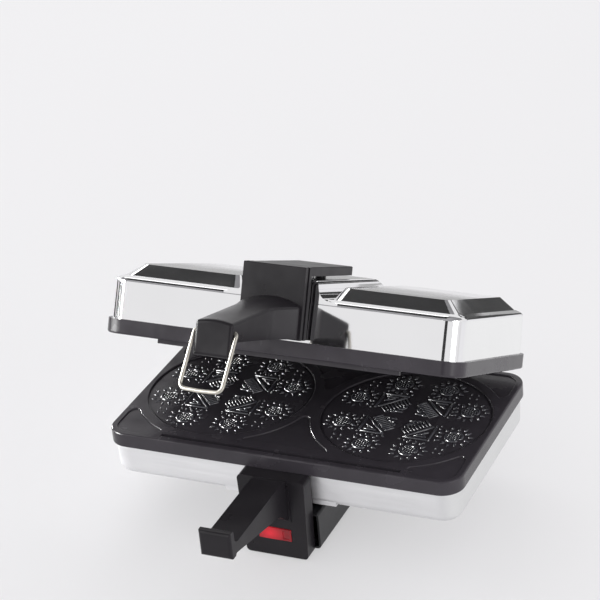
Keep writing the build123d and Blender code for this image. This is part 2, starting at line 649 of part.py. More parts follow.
# ---------------------------------------------------------------- upper handle and bail
def upper_handle():
    """Handle block on the front of the ridge, beam over it, and the arm with its end cap."""
    body = Part()
    steps = [(0, 4, 0), (4, 5.6, -BLOCK_RIB), (5.6, 9, BLOCK_RIB / 2), (9, BLOCK_DEPTH, -BLOCK_RIB / 2)]
    for near, far, proud in steps:
        half = BLOCK_HALF + proud
        body += span_box((-half, half), (BLOCK_FRONT + near, BLOCK_FRONT + far), (BLOCK_BOTTOM, BLOCK_TOP))
    beam_low = BLOCK_TOP - BEAM_THICKNESS
    beam_end = BLOCK_FRONT + BEAM_LENGTH
    body += span_box((-BEAM_HALF, BEAM_HALF), (BLOCK_FRONT + 1, beam_end), (beam_low, BLOCK_TOP))
    web = [(BLOCK_BACK - 1, beam_low + 1, 0), (BLOCK_BACK + BEAM_FILLET, beam_low + 1, 0),
           (BLOCK_BACK + BEAM_FILLET, beam_low, 0), (BLOCK_BACK, beam_low - BEAM_FILLET, 0),
           (BLOCK_BACK - 1, beam_low - BEAM_FILLET, 0)]
    body += side_profile(web, -BEAM_HALF, BEAM_HALF)
    body = fillet(body.faces().sort_by(Axis.Z)[-1].edges(), 0.8)
    for y in BEAM_SCREW_Y:
        body += rod((0, y, LID_RIDGE_TOP), (0, 0, 1), beam_low - LID_RIDGE_TOP + 1, BOSS_R)
        body -= rod((0, y, LID_RIDGE_TOP), (0, 0, 1), 7, SCREW_R + THREAD_FIT)
    body += upper_arm()
    for side in (-1, 1):
        outside = (side * (UPPER_ARM_HALF + 1), BAIL_Y, BAIL_PIVOT_HEIGHT)
        body -= rod(outside, (-side, 0, 0), BAIL_PIN_LENGTH + 1.6, WIRE_R + HINGE_PLAY)
    return body


def upper_arm():
    """Arm that falls towards its down-turned end cap and flares into the block."""
    root = BLOCK_FRONT + 1
    tall = UPPER_ARM_ROOT_TOP + 1
    side = [(root, tall, 0), (root, UPPER_ARM_UNDER, 0), (CAP_BACK, UPPER_ARM_UNDER, 5),
            (CAP_BACK, UPPER_CAP_BOTTOM, 2), (CAP_FRONT, UPPER_CAP_BOTTOM, CAP_CORNER_R),
            (CAP_FRONT, tall, 0)]
    half = UPPER_ARM_HALF
    flare_end = BLOCK_FRONT - FLARE_LENGTH
    right = [(half, CAP_FRONT, CAP_CORNER_R), (half, flare_end, 30),
             (FLARE_HALF, BLOCK_FRONT - 3, 8), (FLARE_HALF, root, 0)]
    left = [(-x, y, radius) for x, y, radius in reversed(right)]
    plan = extrude(Plane.XY.offset(UPPER_CAP_BOTTOM - 1) * outline(right + left), UPPER_ARM_ROOT_TOP)
    arm = side_profile(side, -FLARE_HALF - 1, FLARE_HALF + 1) & plan & arm_crown(root)
    return fillet(arm.faces().sort_by(Axis.Y)[0].edges().sort_by(Axis.Z)[-1], CAP_CORNER_R)


def arm_crown(root):
    """Barrel that rounds the top of the arm and slopes with it."""
    reach = root - CAP_FRONT
    fall = UPPER_ARM_ROOT_TOP - UPPER_CAP_TOP
    low = UPPER_ARM_ROOT_TOP - UPPER_CROWN
    floor = UPPER_CAP_BOTTOM - 1
    half = FLARE_HALF + 1
    section = make_face([ThreePointArc((-half, low), (0, UPPER_ARM_ROOT_TOP), (half, low)),
                         Line((half, low), (half, floor)), Line((half, floor), (-half, floor)),
                         Line((-half, floor), (-half, low))])
    length = (reach ** 2 + fall ** 2) ** 0.5
    return extrude(Plane.XZ.offset(-root) * section, length, dir=(0, -reach, -fall))


def latch_bail():
    """Wire bail that hangs from the upper cap and hooks under the lower one when shut."""
    low = BAIL_PIVOT_HEIGHT - BAIL_LENGTH
    inner = UPPER_ARM_HALF - BAIL_PIN_LENGTH + 1
    left = [(-inner, BAIL_PIVOT_HEIGHT, 0), (-BAIL_HALF, BAIL_PIVOT_HEIGHT, 1.7),
            (-BAIL_HALF, low + BAIL_BOW, BAIL_CORNER_R)]
    right = [(-x, z, radius) for x, z, radius in reversed(left)]
    route = Plane.XZ.offset(-BAIL_Y) * Wire(rounded_edges(left + [(0, low, 60)] + right, False))
    bail = sweep(Plane(route @ 0, z_dir=route % 0) * Circle(WIRE_R), path=route)
    swung = Rot(-BAIL_REST, 0, 0) * Pos(0, -BAIL_Y, -BAIL_PIVOT_HEIGHT) * bail
    return Pos(0, BAIL_Y, BAIL_PIVOT_HEIGHT) * swung


# ---------------------------------------------------------------- hinge
def bracket_places():
    """Rivet places (x, z) in the hinge bracket's foot."""
    middle = UPPER_RIM_TOP + BRACKET_LIFT + BRACKET_HEIGHT / 2
    rise = BRACKET_HEIGHT / 2 - 4
    return [(x, middle + z) for x in (-RIVET_X, RIVET_X) for z in (-rise, rise)]


def lid_bracket():
    """Folded bracket on the upper pan's back wall with a knuckle beside each ear."""
    wall = PAN_HALF_D + BRACKET_SEAT
    low = UPPER_RIM_TOP + BRACKET_LIFT
    high = low + BRACKET_HEIGHT
    outer = EAR_OUTER - EAR_THICKNESS - HINGE_SIDE_GAP
    body = span_box((-outer, outer), (wall, wall + BRACKET_SHEET), (low, high))
    arm = [(wall, low, 0), (HALF_D + 2.5, low, 0), (HINGE_Y - KNUCKLE_R, HINGE_Z, 0),
           (HINGE_Y + KNUCKLE_R, HINGE_Z, 0), (HINGE_Y + KNUCKLE_R, HINGE_Z + 4, 3),
           (wall + 5, high, 3), (wall, high, 0)]
    for x0 in (-outer, outer - KNUCKLE_THICKNESS):
        body += side_profile(arm, x0, x0 + KNUCKLE_THICKNESS)
        body += rod((x0, HINGE_Y, HINGE_Z), (1, 0, 0), KNUCKLE_THICKNESS, KNUCKLE_R)
    body -= rod((-outer - 1, HINGE_Y, HINGE_Z), (1, 0, 0), 2 * outer + 2, HINGE_PIN_R + HINGE_PLAY)
    for x, z in bracket_places():
        body -= rod((x, wall - 1, z), (0, 1, 0), BRACKET_SHEET + 2, RIVET_R + THREAD_FIT)
    body -= rod((0, wall - 1, CABLE_Z), (0, 1, 0), BRACKET_SHEET + 2, SLEEVE_R + 2 * HOLE_FIT)
    return body


def bracket_rivets():
    outside = PAN_HALF_D + BRACKET_SEAT + BRACKET_SHEET
    inside = PAN_HALF_D - SHEET - BRACKET_HEIGHT * tan(radians(PAN_DRAFT)) - 0.2
    rivets = Part()
    for x, z in bracket_places():
        rivets += rod((x, inside, z), (0, 1, 0), outside - inside, RIVET_R)
        rivets += rod((x, outside, z), (0, 1, 0), RIVET_HEAD, RIVET_R * 2)
        rivets += rod((x, inside, z), (0, -1, 0), RIVET_HEAD, RIVET_R * 2)
    return rivets


def hinge_pin():
    half = EAR_OUTER + 2.6
    return rod((-half, HINGE_Y, HINGE_Z), (1, 0, 0), 2 * half, HINGE_PIN_R)


def hinge_clips():
    clips = Part()
    for x in (-EAR_OUTER - 1.3, EAR_OUTER + 0.3):
        clips += ring((x, HINGE_Y, HINGE_Z), (1, 0, 0), 1, HINGE_PIN_R * 1.8, HINGE_PIN_R + 0.02)
    return clips


def hinge_cable():
    """Sleeved lead from the back leg, round behind the hinge pin, into the lid at rest."""
    back = opened(Pos(0, PAN_HALF_D, CABLE_Z)).position
    into = Vector(0, -cos(radians(LID_REST)), sin(radians(LID_REST)))
    bend = SLEEVE_BEND_R
    turned = (SLEEVE_Y - back.Y - bend * (1 - into.Z)) / -into.Y
    arc_end = back - into * turned
    arc_start_z = arc_end.Z - bend * -into.Y
    start = Vector(0, SLEEVE_Y, SLEEVE_START_Z)
    arc_start = Vector(0, SLEEVE_Y, arc_start_z)
    middle_turn = radians(90 - LID_REST) / 2
    middle = arc_start + Vector(0, -bend * (1 - cos(middle_turn)), bend * sin(middle_turn))
    end = back + into * CABLE_REACH
    route = Wire([Line(start, arc_start), ThreePointArc(arc_start, middle, arc_end), Line(arc_end, end)])
    return sweep(Plane(start, z_dir=(0, 0, 1)) * Circle(SLEEVE_R), path=route)


# ---------------------------------------------------------------- heating and wiring
def facing(piece, upper):
    """Seat a piece drawn under a face at z = 0 on the lower or the upper plate."""
    if upper:
        return Pos(0, 0, UPPER_FACE) * Rot(180, 0, 0) * mirror(piece, Plane.XZ)
    return Pos(0, 0, BAKING_HEIGHT) * piece


def element():
    """Tubular heater with its two cold ends at the back."""
    z = -PLATE_WEB - TUBE_R - ELEMENT_SEAT
    half = [(ELEMENT_GATE, ELEMENT_END_Y, z), (ELEMENT_GATE, ELEMENT_Y, z),
            (ELEMENT_X, ELEMENT_Y, z), (ELEMENT_X, -ELEMENT_Y, z)]
    route = half + [(-x, y, z) for x, y, z in reversed(half)]
    body = bent_tube(route, ELEMENT_BEND_R, TUBE_R)
    for x in (-ELEMENT_GATE, ELEMENT_GATE):
        body += rod((x, ELEMENT_END_Y - 1, z), (0, 1, 0), PIN_LENGTH + 1, PIN_R)
    return body


def clamps():
    """Straps that hold the element to the plate."""
    top = -PLATE_WEB - 2 * (TUBE_R + ELEMENT_SEAT)
    straps = Part()
    for x, y in clamp_screws():
        out = 1 if y > 0 else -1
        far = out * (ELEMENT_Y + TUBE_R + 1)
        y0, y1 = sorted((y - out * 4.5, far + out * CLAMP_SHEET))
        width = (x - CLAMP_WIDTH / 2, x + CLAMP_WIDTH / 2)
        strap = span_box(width, (y0, y1), (top - CLAMP_SHEET, top))
        lip = sorted((far, far + out * CLAMP_SHEET))
        strap += span_box(width, lip, (top - CLAMP_SHEET, top + CLAMP_LIP))
        straps += strap - rod((x, y, top - 3), (0, 0, 1), 4, SCREW_R + HOLE_FIT)
    return straps


def clamp_fixings():
    top = -PLATE_WEB - 2 * (TUBE_R + ELEMENT_SEAT) - CLAMP_SHEET
    screws = Part()
    for x, y in clamp_screws():
        screws += screw((x, y, top), (0, 0, 1), CLAMP_SHEET + 2 * TUBE_R - 1.5)
    return screws


def shield():
    """Thin reflector sheet across the bosses."""
    top = -PLATE_WEB - SHIELD_DROP
    sheet = Pos(0, 0, top) * extrude(RectangleRounded(2 * TIE_X + 16, 2 * TIE_Y + 16, 8), -SHIELD_SHEET)
    for x, y in four(TIE_X, TIE_Y):
        sheet -= rod((x, y, top - 2), (0, 0, 1), 4, SCREW_R + HOLE_FIT)
    return sheet - rod((0, WIRE_HOLE_Y, top - 2), (0, 0, 1), 4, WIRE_HOLE_R)


def shield_spacers():
    low = PAN_FLOOR + SHEET
    length = SHIELD_TOP - SHIELD_SHEET - low
    tubes = Part()
    for x, y in four(TIE_X, TIE_Y):
        tubes += ring((x, y, low), (0, 0, 1), length, BOSS_R, SCREW_R + HOLE_FIT)
    return tubes


def tie_screws():
    screws = Part()
    for x, y in four(TIE_X, TIE_Y):
        screws += screw((x, y, PAN_FLOOR), (0, 0, 1), SHIELD_TOP + SHIELD_DROP - 4 - PAN_FLOOR)
    return screws


def lid_straps():
    """Two strips inside the lid that tie the upper plate to the pan's walls."""
    low = UPPER_FACE + PLATE_WEB + SHIELD_DROP + SHIELD_SHEET
    rise = low + STRAP_TAB - UPPER_RIM_TOP
    reach = PAN_HALF_D - SHEET - rise * tan(radians(PAN_DRAFT)) - 0.1
    straps = Part()
    for x in (-TIE_X, TIE_X):
        span = (x - STRAP_WIDTH / 2, x + STRAP_WIDTH / 2)
        strap = span_box(span, (-reach, reach), (low, low + STRAP_SHEET))
        for y in (-reach, reach - STRAP_SHEET):
            strap += span_box(span, (y, y + STRAP_SHEET), (low, low + STRAP_TAB))
        for y in (-TIE_Y, TIE_Y):
            strap -= rod((x, y, low - 1), (0, 0, 1), STRAP_SHEET + 2, SCREW_R + HOLE_FIT)
        straps += strap
    return straps


def strap_screws():
    top = UPPER_FACE + PLATE_WEB + SHIELD_DROP + SHIELD_SHEET + STRAP_SHEET
    screws = Part()
    for x, y in four(TIE_X, TIE_Y):
        screws += screw((x, y, top), (0, 0, -1), SHIELD_DROP - 3)
    return screws


def beam_screws():
    screws = Part()
    for y in BEAM_SCREW_Y:
        screws += screw((0, y, LID_RIDGE_TOP - SHEET), (0, 0, 1), SHEET + 6)
    return screws


def channel_bolts():
    bolts = Part()
    for x, y in four(CHANNEL_BOLT_X, CHANNEL_BOLT_Y):
        bolts += screw((x, y, RIDGE_BOTTOM + SHEET), (0, 0, -1), SHEET + CHANNEL_SHEET + 4.5)
    return bolts


def channel_nuts():
    nuts = Part()
    for x, y in four(CHANNEL_BOLT_X, CHANNEL_BOLT_Y):
        place = Pos(x, y, RIDGE_BOTTOM - CHANNEL_SHEET)
        nut = RegularPolygon(3.5, 6, major_radius=False) - Circle(SCREW_R + THREAD_FIT)
        nuts += place * extrude(nut, -3.2)
    return nuts


def shelf_screws():
    screws = Part()
    for x, y in shelf_screw_places():
        screws += screw((x, y, CHANNEL_FLOOR), (0, 0, 1), CHANNEL_SHEET + SHELF_HEIGHT - 0.5)
    return screws


def handle_screws():
    """Screws from inside the lower pan into the front leg's bosses."""
    inside = -PAN_HALF_D + SHEET + (RIM_BOTTOM - LEG_SCREW_Z + 4) * tan(radians(PAN_DRAFT))
    screws = Part()
    for x in (-LEG_SCREW_X, LEG_SCREW_X):
        screws += screw((x, inside, LEG_SCREW_Z), (0, -1, 0), 9)
    return screws


def thermostat():
    """Snap disc thermostat with its mounting ears and two tabs."""
    top = WEB_BACK
    body = rod((0, 0, top), (0, 0, -1), THERMOSTAT_HEIGHT, THERMOSTAT_R)
    reach = THERMOSTAT_EAR + 3.5
    body += span_box((-reach, reach), (-4, 4), (top - 1, top))
    for x in (-THERMOSTAT_EAR, THERMOSTAT_EAR):
        body -= rod((x, 0, top - 2), (0, 0, 1), 3, SMALL_SCREW_R + HOLE_FIT)
    for x in (-4, 4):
        low = top - THERMOSTAT_HEIGHT
        body += span_box((x - 2.4, x + 2.4), (-0.4, 0.4), (low - 3, low + 0.5))
    return body


def thermostat_screws():
    screws = Part()
    for x in (-THERMOSTAT_EAR, THERMOSTAT_EAR):
        screws += screw((x, 0, WEB_BACK - 1), (0, 0, 1), THERMOSTAT_HOLE, SMALL_SCREW_R, 2.8, 1.8)
    return screws


def thermal_fuse():
    """Thermal cut-off lying against the back of the plate between the cold ends."""
    z = WEB_BACK - FUSE_R - ELEMENT_SEAT
    body = rod((-FUSE_LENGTH / 2, ELEMENT_END_Y - 4, z), (1, 0, 0), FUSE_LENGTH, FUSE_R)
    tail = ELEMENT_GATE - TUBE_R - 0.3
    return body + rod((-tail, ELEMENT_END_Y - 4, z), (1, 0, 0), 2 * tail, 0.5)


def port_places():
    return [PORT_PITCH * (i - 1.5) for i in range(4)]


def terminal_block():
    """Ceramic block on the channel's floor with four ports right through."""
    low = CHANNEL_FLOOR + CHANNEL_SHEET
    back = TERMINAL_Y + TERMINAL_DEPTH
    half = TERMINAL_WIDTH / 2
    block = span_box((-half, half), (TERMINAL_Y, back), (low, low + TERMINAL_HEIGHT))
    for x in port_places():
        block -= rod((x, TERMINAL_Y, port_height()), (0, 1, 0), TERMINAL_DEPTH, PORT_R + PORT_WALL)
        block -= rod((x, TERMINAL_Y + TERMINAL_DEPTH / 2, low + TERMINAL_HEIGHT), (0, 0, -1), 4, 1.9)
    return block


def port_height():
    return CHANNEL_FLOOR + CHANNEL_SHEET + TERMINAL_HEIGHT / 2 - 1


def terminal_inserts():
    """Brass tubes in the block's ports."""
    inserts = Part()
    outer = PORT_R + PORT_WALL - THREAD_FIT
    for x in port_places():
        start = (x, TERMINAL_Y + 1, port_height())
        inserts += ring(start, (0, 1, 0), TERMINAL_DEPTH - 2, outer, PORT_R)
    return inserts


def indicator_lens():
    """Window of the indicator: face, flange behind the leg's wall and a small inset panel."""
    half_w = LENS_WIDTH / 2 - LENS_FIT
    half_h = LENS_HEIGHT / 2 - LENS_FIT
    front = LEG_FRONT - LENS_PROUD
    behind = LEG_FRONT + LEG_WALL
    face = span_box((-half_w, half_w), (front, behind), (LENS_CENTRE_Z - half_h, LENS_CENTRE_Z + half_h))
    face = fillet(face.faces().sort_by(Axis.Y)[0].edges(), 0.5)
    rim_w = half_w + LENS_FLANGE
    rim_h = half_h + LENS_FLANGE
    rim = span_box((-rim_w, rim_w), (behind, behind + LENS_RIM),
                   (LENS_CENTRE_Z - rim_h, LENS_CENTRE_Z + rim_h))
    right = half_w - LENS_PANEL_INSET
    tall = half_h - LENS_PANEL_INSET
    panel = span_box((right - LENS_PANEL_WIDTH, right), (front - 1, front + 0.5),
                     (LENS_CENTRE_Z - tall, LENS_CENTRE_Z + tall))
    return face + rim - panel


def lamp_y():
    return LEG_FRONT + LEG_WALL + LENS_RIM + LAMP_GAP + LAMP_R


def indicator_lamp():
    """Small neon tube behind the window."""
    start = -LAMP_LENGTH / 2 - 2
    lamp = rod((start, lamp_y(), LENS_CENTRE_Z), (1, 0, 0), LAMP_LENGTH, LAMP_R)
    return fillet(lamp.faces().sort_by(Axis.X)[-1].edges(), LAMP_R * 0.7)


def lamp_holder():
    start = -LAMP_LENGTH / 2 - 3
    seat = span_box((start, start + 5), (lamp_y() - LAMP_R - 0.5, LEG_BACK - 0.3),
                    (LENS_CENTRE_Z - LAMP_R - 2, LENS_CENTRE_Z + LAMP_R + 2))
    return seat - rod((start + 1, lamp_y(), LENS_CENTRE_Z), (1, 0, 0), LAMP_LENGTH, LAMP_R + 0.08)


def lower_leads():
    """Leads to the lamp, the lower element and the hinge cable."""
    leads = Part()
    port_z = port_height()
    ports = port_places()
    holder_back = LEG_BACK - 0.2
    front_port = TERMINAL_Y - LEAD_GAP
    back_port = TERMINAL_Y + TERMINAL_DEPTH + LEAD_GAP
    for x, lane in ((ports[0], LENS_CENTRE_Z - 2), (ports[3], LENS_CENTRE_Z + 2)):
        start_x = -LAMP_LENGTH / 2 - 0.5
        route = [(start_x, holder_back, lane), (start_x, holder_back + 9, lane),
                 (x, holder_back + 24, port_z + 6), (x, front_port - 14, port_z + 6),
                 (x, front_port - 5, port_z), (x, front_port, port_z)]
        leads += bent_tube(route, 2.5, LEAD_R)
    pin_z = WEB_BACK - TUBE_R - ELEMENT_SEAT
    pin_y = ELEMENT_END_Y + PIN_LENGTH - 2
    for side in (-1, 1):
        x = side * PORT_PITCH / 2
        gate = side * ELEMENT_GATE
        run = PAN_FLOOR + LEAD_LIFT
        route = [(gate, pin_y, pin_z - PIN_R - LEAD_GAP), (gate, pin_y, run), (x, WIRE_HOLE_Y, run),
                 (x, WIRE_HOLE_Y, port_z), (x, front_port, port_z)]
        leads += bent_tube(route, 4, LEAD_R)
        route = [(x, back_port, port_z), (x, back_port + 4, port_z), (x, back_port + 9, port_z + 7),
                 (x, REAR_FRONT + 2, port_z + 7), (x / 2, SLEEVE_Y, port_z + 16),
                 (x / 2, SLEEVE_Y, SLEEVE_START_Z - LEAD_GAP)]
        leads += bent_tube(route, 2.5, LEAD_R)
    return leads


def upper_leads():
    """Leads from the hinge cable to the upper element's cold ends."""
    start_y = PAN_HALF_D - CABLE_REACH - LEAD_GAP
    pin_y = ELEMENT_END_Y + PIN_LENGTH - 2
    pin_z = UPPER_FACE + PLATE_WEB + TUBE_R + ELEMENT_SEAT
    leads = Part()
    for side in (-1, 1):
        x = side * 1.5
        gate = side * ELEMENT_GATE
        route = [(x, start_y, CABLE_Z), (x, pin_y, CABLE_Z), (gate, pin_y, CABLE_Z),
                 (gate, pin_y, pin_z + PIN_R + LEAD_GAP)]
        leads += bent_tube(route, 2.2, LEAD_R)
    return leads


def cord_grommet():
    """Bushing of the cord inlet in the back leg."""
    inside = REAR_BACK - LEG_WALL
    body = rod((0, inside - 2, GLAND_HEIGHT), (0, 1, 0), LEG_WALL + 4, GLAND_R)
    flange = rod((0, REAR_BACK, GLAND_HEIGHT), (0, 1, 0), GLAND_FLANGE, GLAND_FLANGE_R)
    flange = fillet(flange.faces().sort_by(Axis.Y)[-1].edges(), 1.2)
    body += flange + rod((0, inside - 2, GLAND_HEIGHT), (0, 1, 0), 2, GLAND_R + 1)
    return body - rod((0, inside - 3, GLAND_HEIGHT), (0, 1, 0), LEG_WALL + 8, GLAND_BORE_R)


# ---------------------------------------------------------------- the whole
BASE = {
    "lower_plate": lower_plate, "lower_pan": lower_pan, "front_leg_handle": front_leg_handle,
    "rear_leg": rear_leg, "base_channel": base_channel, "rubber_feet": rubber_feet,
    "hinge_pin": hinge_pin, "hinge_clips": hinge_clips, "hinge_cable": hinge_cable,
    "shield_spacers": shield_spacers, "tie_screws": tie_screws, "channel_bolts": channel_bolts,
    "channel_nuts": channel_nuts, "shelf_screws": shelf_screws, "handle_screws": handle_screws,
    "thermostat": thermostat, "thermostat_screws": thermostat_screws, "thermal_fuse": thermal_fuse,
    "terminal_block": terminal_block, "terminal_inserts": terminal_inserts,
    "indicator_lens": indicator_lens, "indicator_lamp": indicator_lamp, "lamp_holder": lamp_holder,
    "lower_leads": lower_leads, "cord_grommet": cord_grommet,
}
LID = {
    "upper_plate": upper_plate, "upper_pan": upper_pan, "upper_handle": upper_handle,
    "lid_bracket": lid_bracket, "bracket_rivets": bracket_rivets, "lid_straps": lid_straps,
    "strap_screws": strap_screws, "beam_screws": beam_screws, "upper_leads": upper_leads,
    "latch_bail": latch_bail,
}
PAIRED = {"element": element, "clamps": clamps, "clamp_screws": clamp_fixings, "shield": shield}

for name, build in BASE.items():
    keep(name, build())
for name, build in LID.items():
    keep(name, opened(build()))
for name, build in PAIRED.items():
    keep("lower_" + name, facing(build(), False))
    keep("upper_" + name, opened(facing(build(), True)))

os.makedirs("parts", exist_ok=True)
for name, shape in NODES.items():
    export_step(shape, "parts/" + name + ".step")
    print(name, len(shape.solids()), round(shape.volume / 1000, 2), "cm3")
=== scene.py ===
import json
from math import atan2, cos, hypot, pi, radians, sin, tan

import bpy
from mathutils import Matrix, Vector


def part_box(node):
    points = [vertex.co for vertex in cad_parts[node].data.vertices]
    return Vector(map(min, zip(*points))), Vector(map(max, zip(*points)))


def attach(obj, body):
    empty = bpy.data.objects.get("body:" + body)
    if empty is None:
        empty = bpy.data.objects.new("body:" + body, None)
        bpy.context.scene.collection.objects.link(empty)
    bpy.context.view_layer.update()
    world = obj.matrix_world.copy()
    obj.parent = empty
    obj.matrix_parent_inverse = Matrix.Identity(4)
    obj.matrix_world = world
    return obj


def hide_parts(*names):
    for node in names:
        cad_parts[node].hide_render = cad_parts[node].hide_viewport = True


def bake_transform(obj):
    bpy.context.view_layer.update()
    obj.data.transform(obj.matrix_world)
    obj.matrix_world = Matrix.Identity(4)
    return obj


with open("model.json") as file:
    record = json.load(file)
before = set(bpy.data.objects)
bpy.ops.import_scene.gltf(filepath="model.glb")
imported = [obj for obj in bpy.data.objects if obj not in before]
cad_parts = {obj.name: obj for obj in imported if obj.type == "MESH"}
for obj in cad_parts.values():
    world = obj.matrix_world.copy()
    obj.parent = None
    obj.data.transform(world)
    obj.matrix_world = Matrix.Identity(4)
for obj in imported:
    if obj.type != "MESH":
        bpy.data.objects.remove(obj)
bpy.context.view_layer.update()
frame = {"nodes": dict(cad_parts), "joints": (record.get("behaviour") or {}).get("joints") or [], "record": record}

bl_info = {
    "name": "Krumkake Iron",
    "version": (1, 0, 0),
    "blender": (4, 5, 0),
    "location": "View3D > Sidebar > Krumkake Iron",
    "description": "Dresses a two disc krumkake iron: finishes, baking relief and a plain studio",
    "category": "Object",
}

NODES = frame["nodes"]
JOINTS = {joint["name"]: joint for joint in frame["joints"]}
OPENING = radians(abs(JOINTS["lid_hinge"]["range_deg"][0]))     # of the lid, at rest
RELIEFS = []                # the four raised patterns, once they are made

MERGE = 0.000001            # vertices nearer than this are one
PLATE_GAP = 0.0005          # between the two baking faces when shut
SUNK = 0.00005              # how far the relief's bases sit in the disc's floor
ARC_CUT = 0.00002           # how far below its middle an arc is cut
ARC_TAPER = 0.35            # thickness of an arc's ends, as a share of its middle
CABLE_INSIDE = 0.006        # lead past the lid's back wall
LEAD_BEND_BELOW = 0.012     # where the lead starts to bend, below the hinge pin
LEAD_SIDES = 20
LEAD_STEPS = 12             # rings in the lead's upright part, and in its bend
LEAD_END_STEPS = 10         # rings in the part that runs into the lid

SEED_RADIUS = 0.00095       # beads of a flower's heart
SEED_ROW = 0.00225          # distance between those beads
ROW_PITCH = 0.87            # distance between their rows, as a share of it
HEART = 0.43                # reach of the beads, as a share of the flower
RIM = 0.58                  # radius of the rim round them, as a share of the flower
RIM_HALF_WIDTH = 0.0011
RIM_SWEEP, RIM_STEPS = radians(160), 12
RIM_TURNS = (20, 200)       # degrees
PETAL_LENGTH, PETAL_WIDTH = 0.0047, 0.0027
OUTER_PETAL, OUTER_SIZE = 1.13, 0.85    # every other petal stands further out and is smaller
STROKE_STEP = 0.001         # the outermost strokes' distance from the triangle
RUNG_LENGTH, RUNG_WIDTH = 0.0080, 0.0016
RUNGS, RUNG_STEP = 9, 0.00255
COMB_IN = 0.0058            # middle of the comb, inwards from the triangle's long side
SCALLOP_RADIUS, SCALLOP_HALF_WIDTH = 0.0031, 0.00085
SCALLOP_SWEEP, SCALLOP_STEPS = radians(170), 10
SCALLOP_IN, SCALLOP_OFF = 0.0036, 0.0037
CORNER_DOTS = (             # x and y in one quadrant
    (0.0065, 0.0305), (0.0105, 0.0312), (0.0150, 0.0306), (0.0195, 0.0312), (0.0305, 0.0195),
    (0.0312, 0.0150), (0.0306, 0.0105), (0.0305, 0.0065), (0.0062, 0.0118), (0.0118, 0.0060))
GAP_DOT_RADIUS = 0.0009
GAP_DOTS = (                # distance from the centre, and degrees off the diagonal
    (0.0592, 0), (0.0558, 4), (0.0558, -4), (0.0520, 0), (0.0395, 0), (0.0412, 6), (0.0412, -6))
FIRST_FLOWER, FLOWER_STEP, FLOWER_TURN = 22.5, 45, 215      # degrees

LENS_LIT_AT = 0.36          # brightest place of the window, as a share of its width
LENS_LIT_REACH = 0.42       # reach of that light, as a share of the width
LENS_LIT_UPRIGHT = 1.5      # how much flatter than wide it is
LENS_GLOW = 0.4
LENS_LIGHT = (1.0, 0.02, 0.045, 1.0)

PAPER_WHITE = (1.0, 0.995, 1.0, 1.0)
PLAIN_FINISHES = {          # slot: name, colour, metallic, lowest and highest roughness
    "black_steel": ("black_enamel", (0.012, 0.012, 0.014), 0.0, 0.34, 0.46),
    "black_rubber": ("rubber", (0.016, 0.016, 0.016), 0.0, 0.6, 0.75),
    "lead_insulation": ("silicone", (0.72, 0.69, 0.62), 0.0, 0.5, 0.6),
    "ceramic": ("ceramic", (0.75, 0.72, 0.66), 0.0, 0.25, 0.4),
    "brass": ("brass", (0.72, 0.50, 0.20), 1.0, 0.25, 0.35),
    "lamp_glass": ("lamp_glass", (0.9, 0.35, 0.15), 0.0, 0.05, 0.1),
    "element_sheath": ("heated_sheath", (0.10, 0.09, 0.085), 0.9, 0.4, 0.55),
    "shield_sheet": ("shield_sheet", (0.75, 0.75, 0.76), 1.0, 0.3, 0.42),
    "zinc_steel": ("zinc_plate", (0.62, 0.63, 0.62), 1.0, 0.26, 0.38),
}

LYING = (0, 0, 0)
FACING_FRONT = (pi / 2, 0, 0)
FACING_SIDE = (pi / 2, 0, pi / 2)
CLOTHS = {                  # grey level, glow, cells per metre, contrast
    "flag_cloth": (0.016, 0.0, 300.0, 0.2),
    "grey_card": (0.36, 0.0, 300.0, 0.2),
    "white_card": (0.02, 0.85, 300.0, 0.2),
    "cloudy_cloth": (0.42, 0.0, 0.7, 0.75),
}
CARDS = (                   # name, cloth, place, size, turn
    ("ceiling_flag", "flag_cloth", (-0.72, 0.70, 2.0), (1.7, 2.5), LYING),
    ("cloudy_ceiling", "cloudy_cloth", (0.0, 0.6, 2.4), (8.0, 7.0), LYING),
    ("left_flag", "flag_cloth", (-0.78, -0.5, 0.17), (0.9, 0.34), FACING_SIDE),
    ("low_left_flag", "flag_cloth", (-0.78, 0.4, 0.05), (0.9, 0.10), FACING_SIDE),
    ("front_flag", "flag_cloth", (0.33, -1.10, 0.55), (0.34, 0.95), FACING_FRONT),
    ("back_flag", "flag_cloth", (0.22, 1.40, 0.16), (0.62, 0.26), FACING_FRONT),
    ("low_back_flag", "flag_cloth", (0.22, 1.12, 0.012), (0.62, 0.62), LYING),
    ("right_card", "white_card", (0.32, 0.16, 0.012), (0.34, 0.52), LYING),
    ("back_card", "grey_card", (-0.12, 0.62, 0.01), (0.62, 0.36), LYING),
)
SOFTBOXES = (               # name, place, power's setting, width, height, seen by matt surfaces
    ("left_softbox", (-1.48, -0.42, 0.38), "key_power", 0.50, 0.30, False),
    ("edge_strip", (-1.46, 0.58, 0.28), "edge_power", 0.40, 0.16, False),
    ("front_softbox", (-1.40, -0.76, 0.84), "front_power", 0.60, 0.45, False),
    ("back_softbox", (-0.9, 1.5, 1.9), "fill_power", 1.6, 1.2, True),
    ("right_softbox", (1.5, -0.5, 0.7), "side_power", 1.0, 0.8, True),
)
LAMP_AIM = (0, 0, 0.1)

CAMERA_PLACE = (0.60716, -1.22501, 0.891496)
CAMERA_AHEAD = (-0.38217407, 0.7905027, -0.47858998)
CAMERA_RIGHT = (0.9161837, 0.39173329, -0.08457219)
CAMERA_SHIFT = (-0.0136, 0.0749)
SENSOR_WIDTH = 36.0         # millimetres
SEEN_TO = 50.0              # the camera's far end of sight, in metres


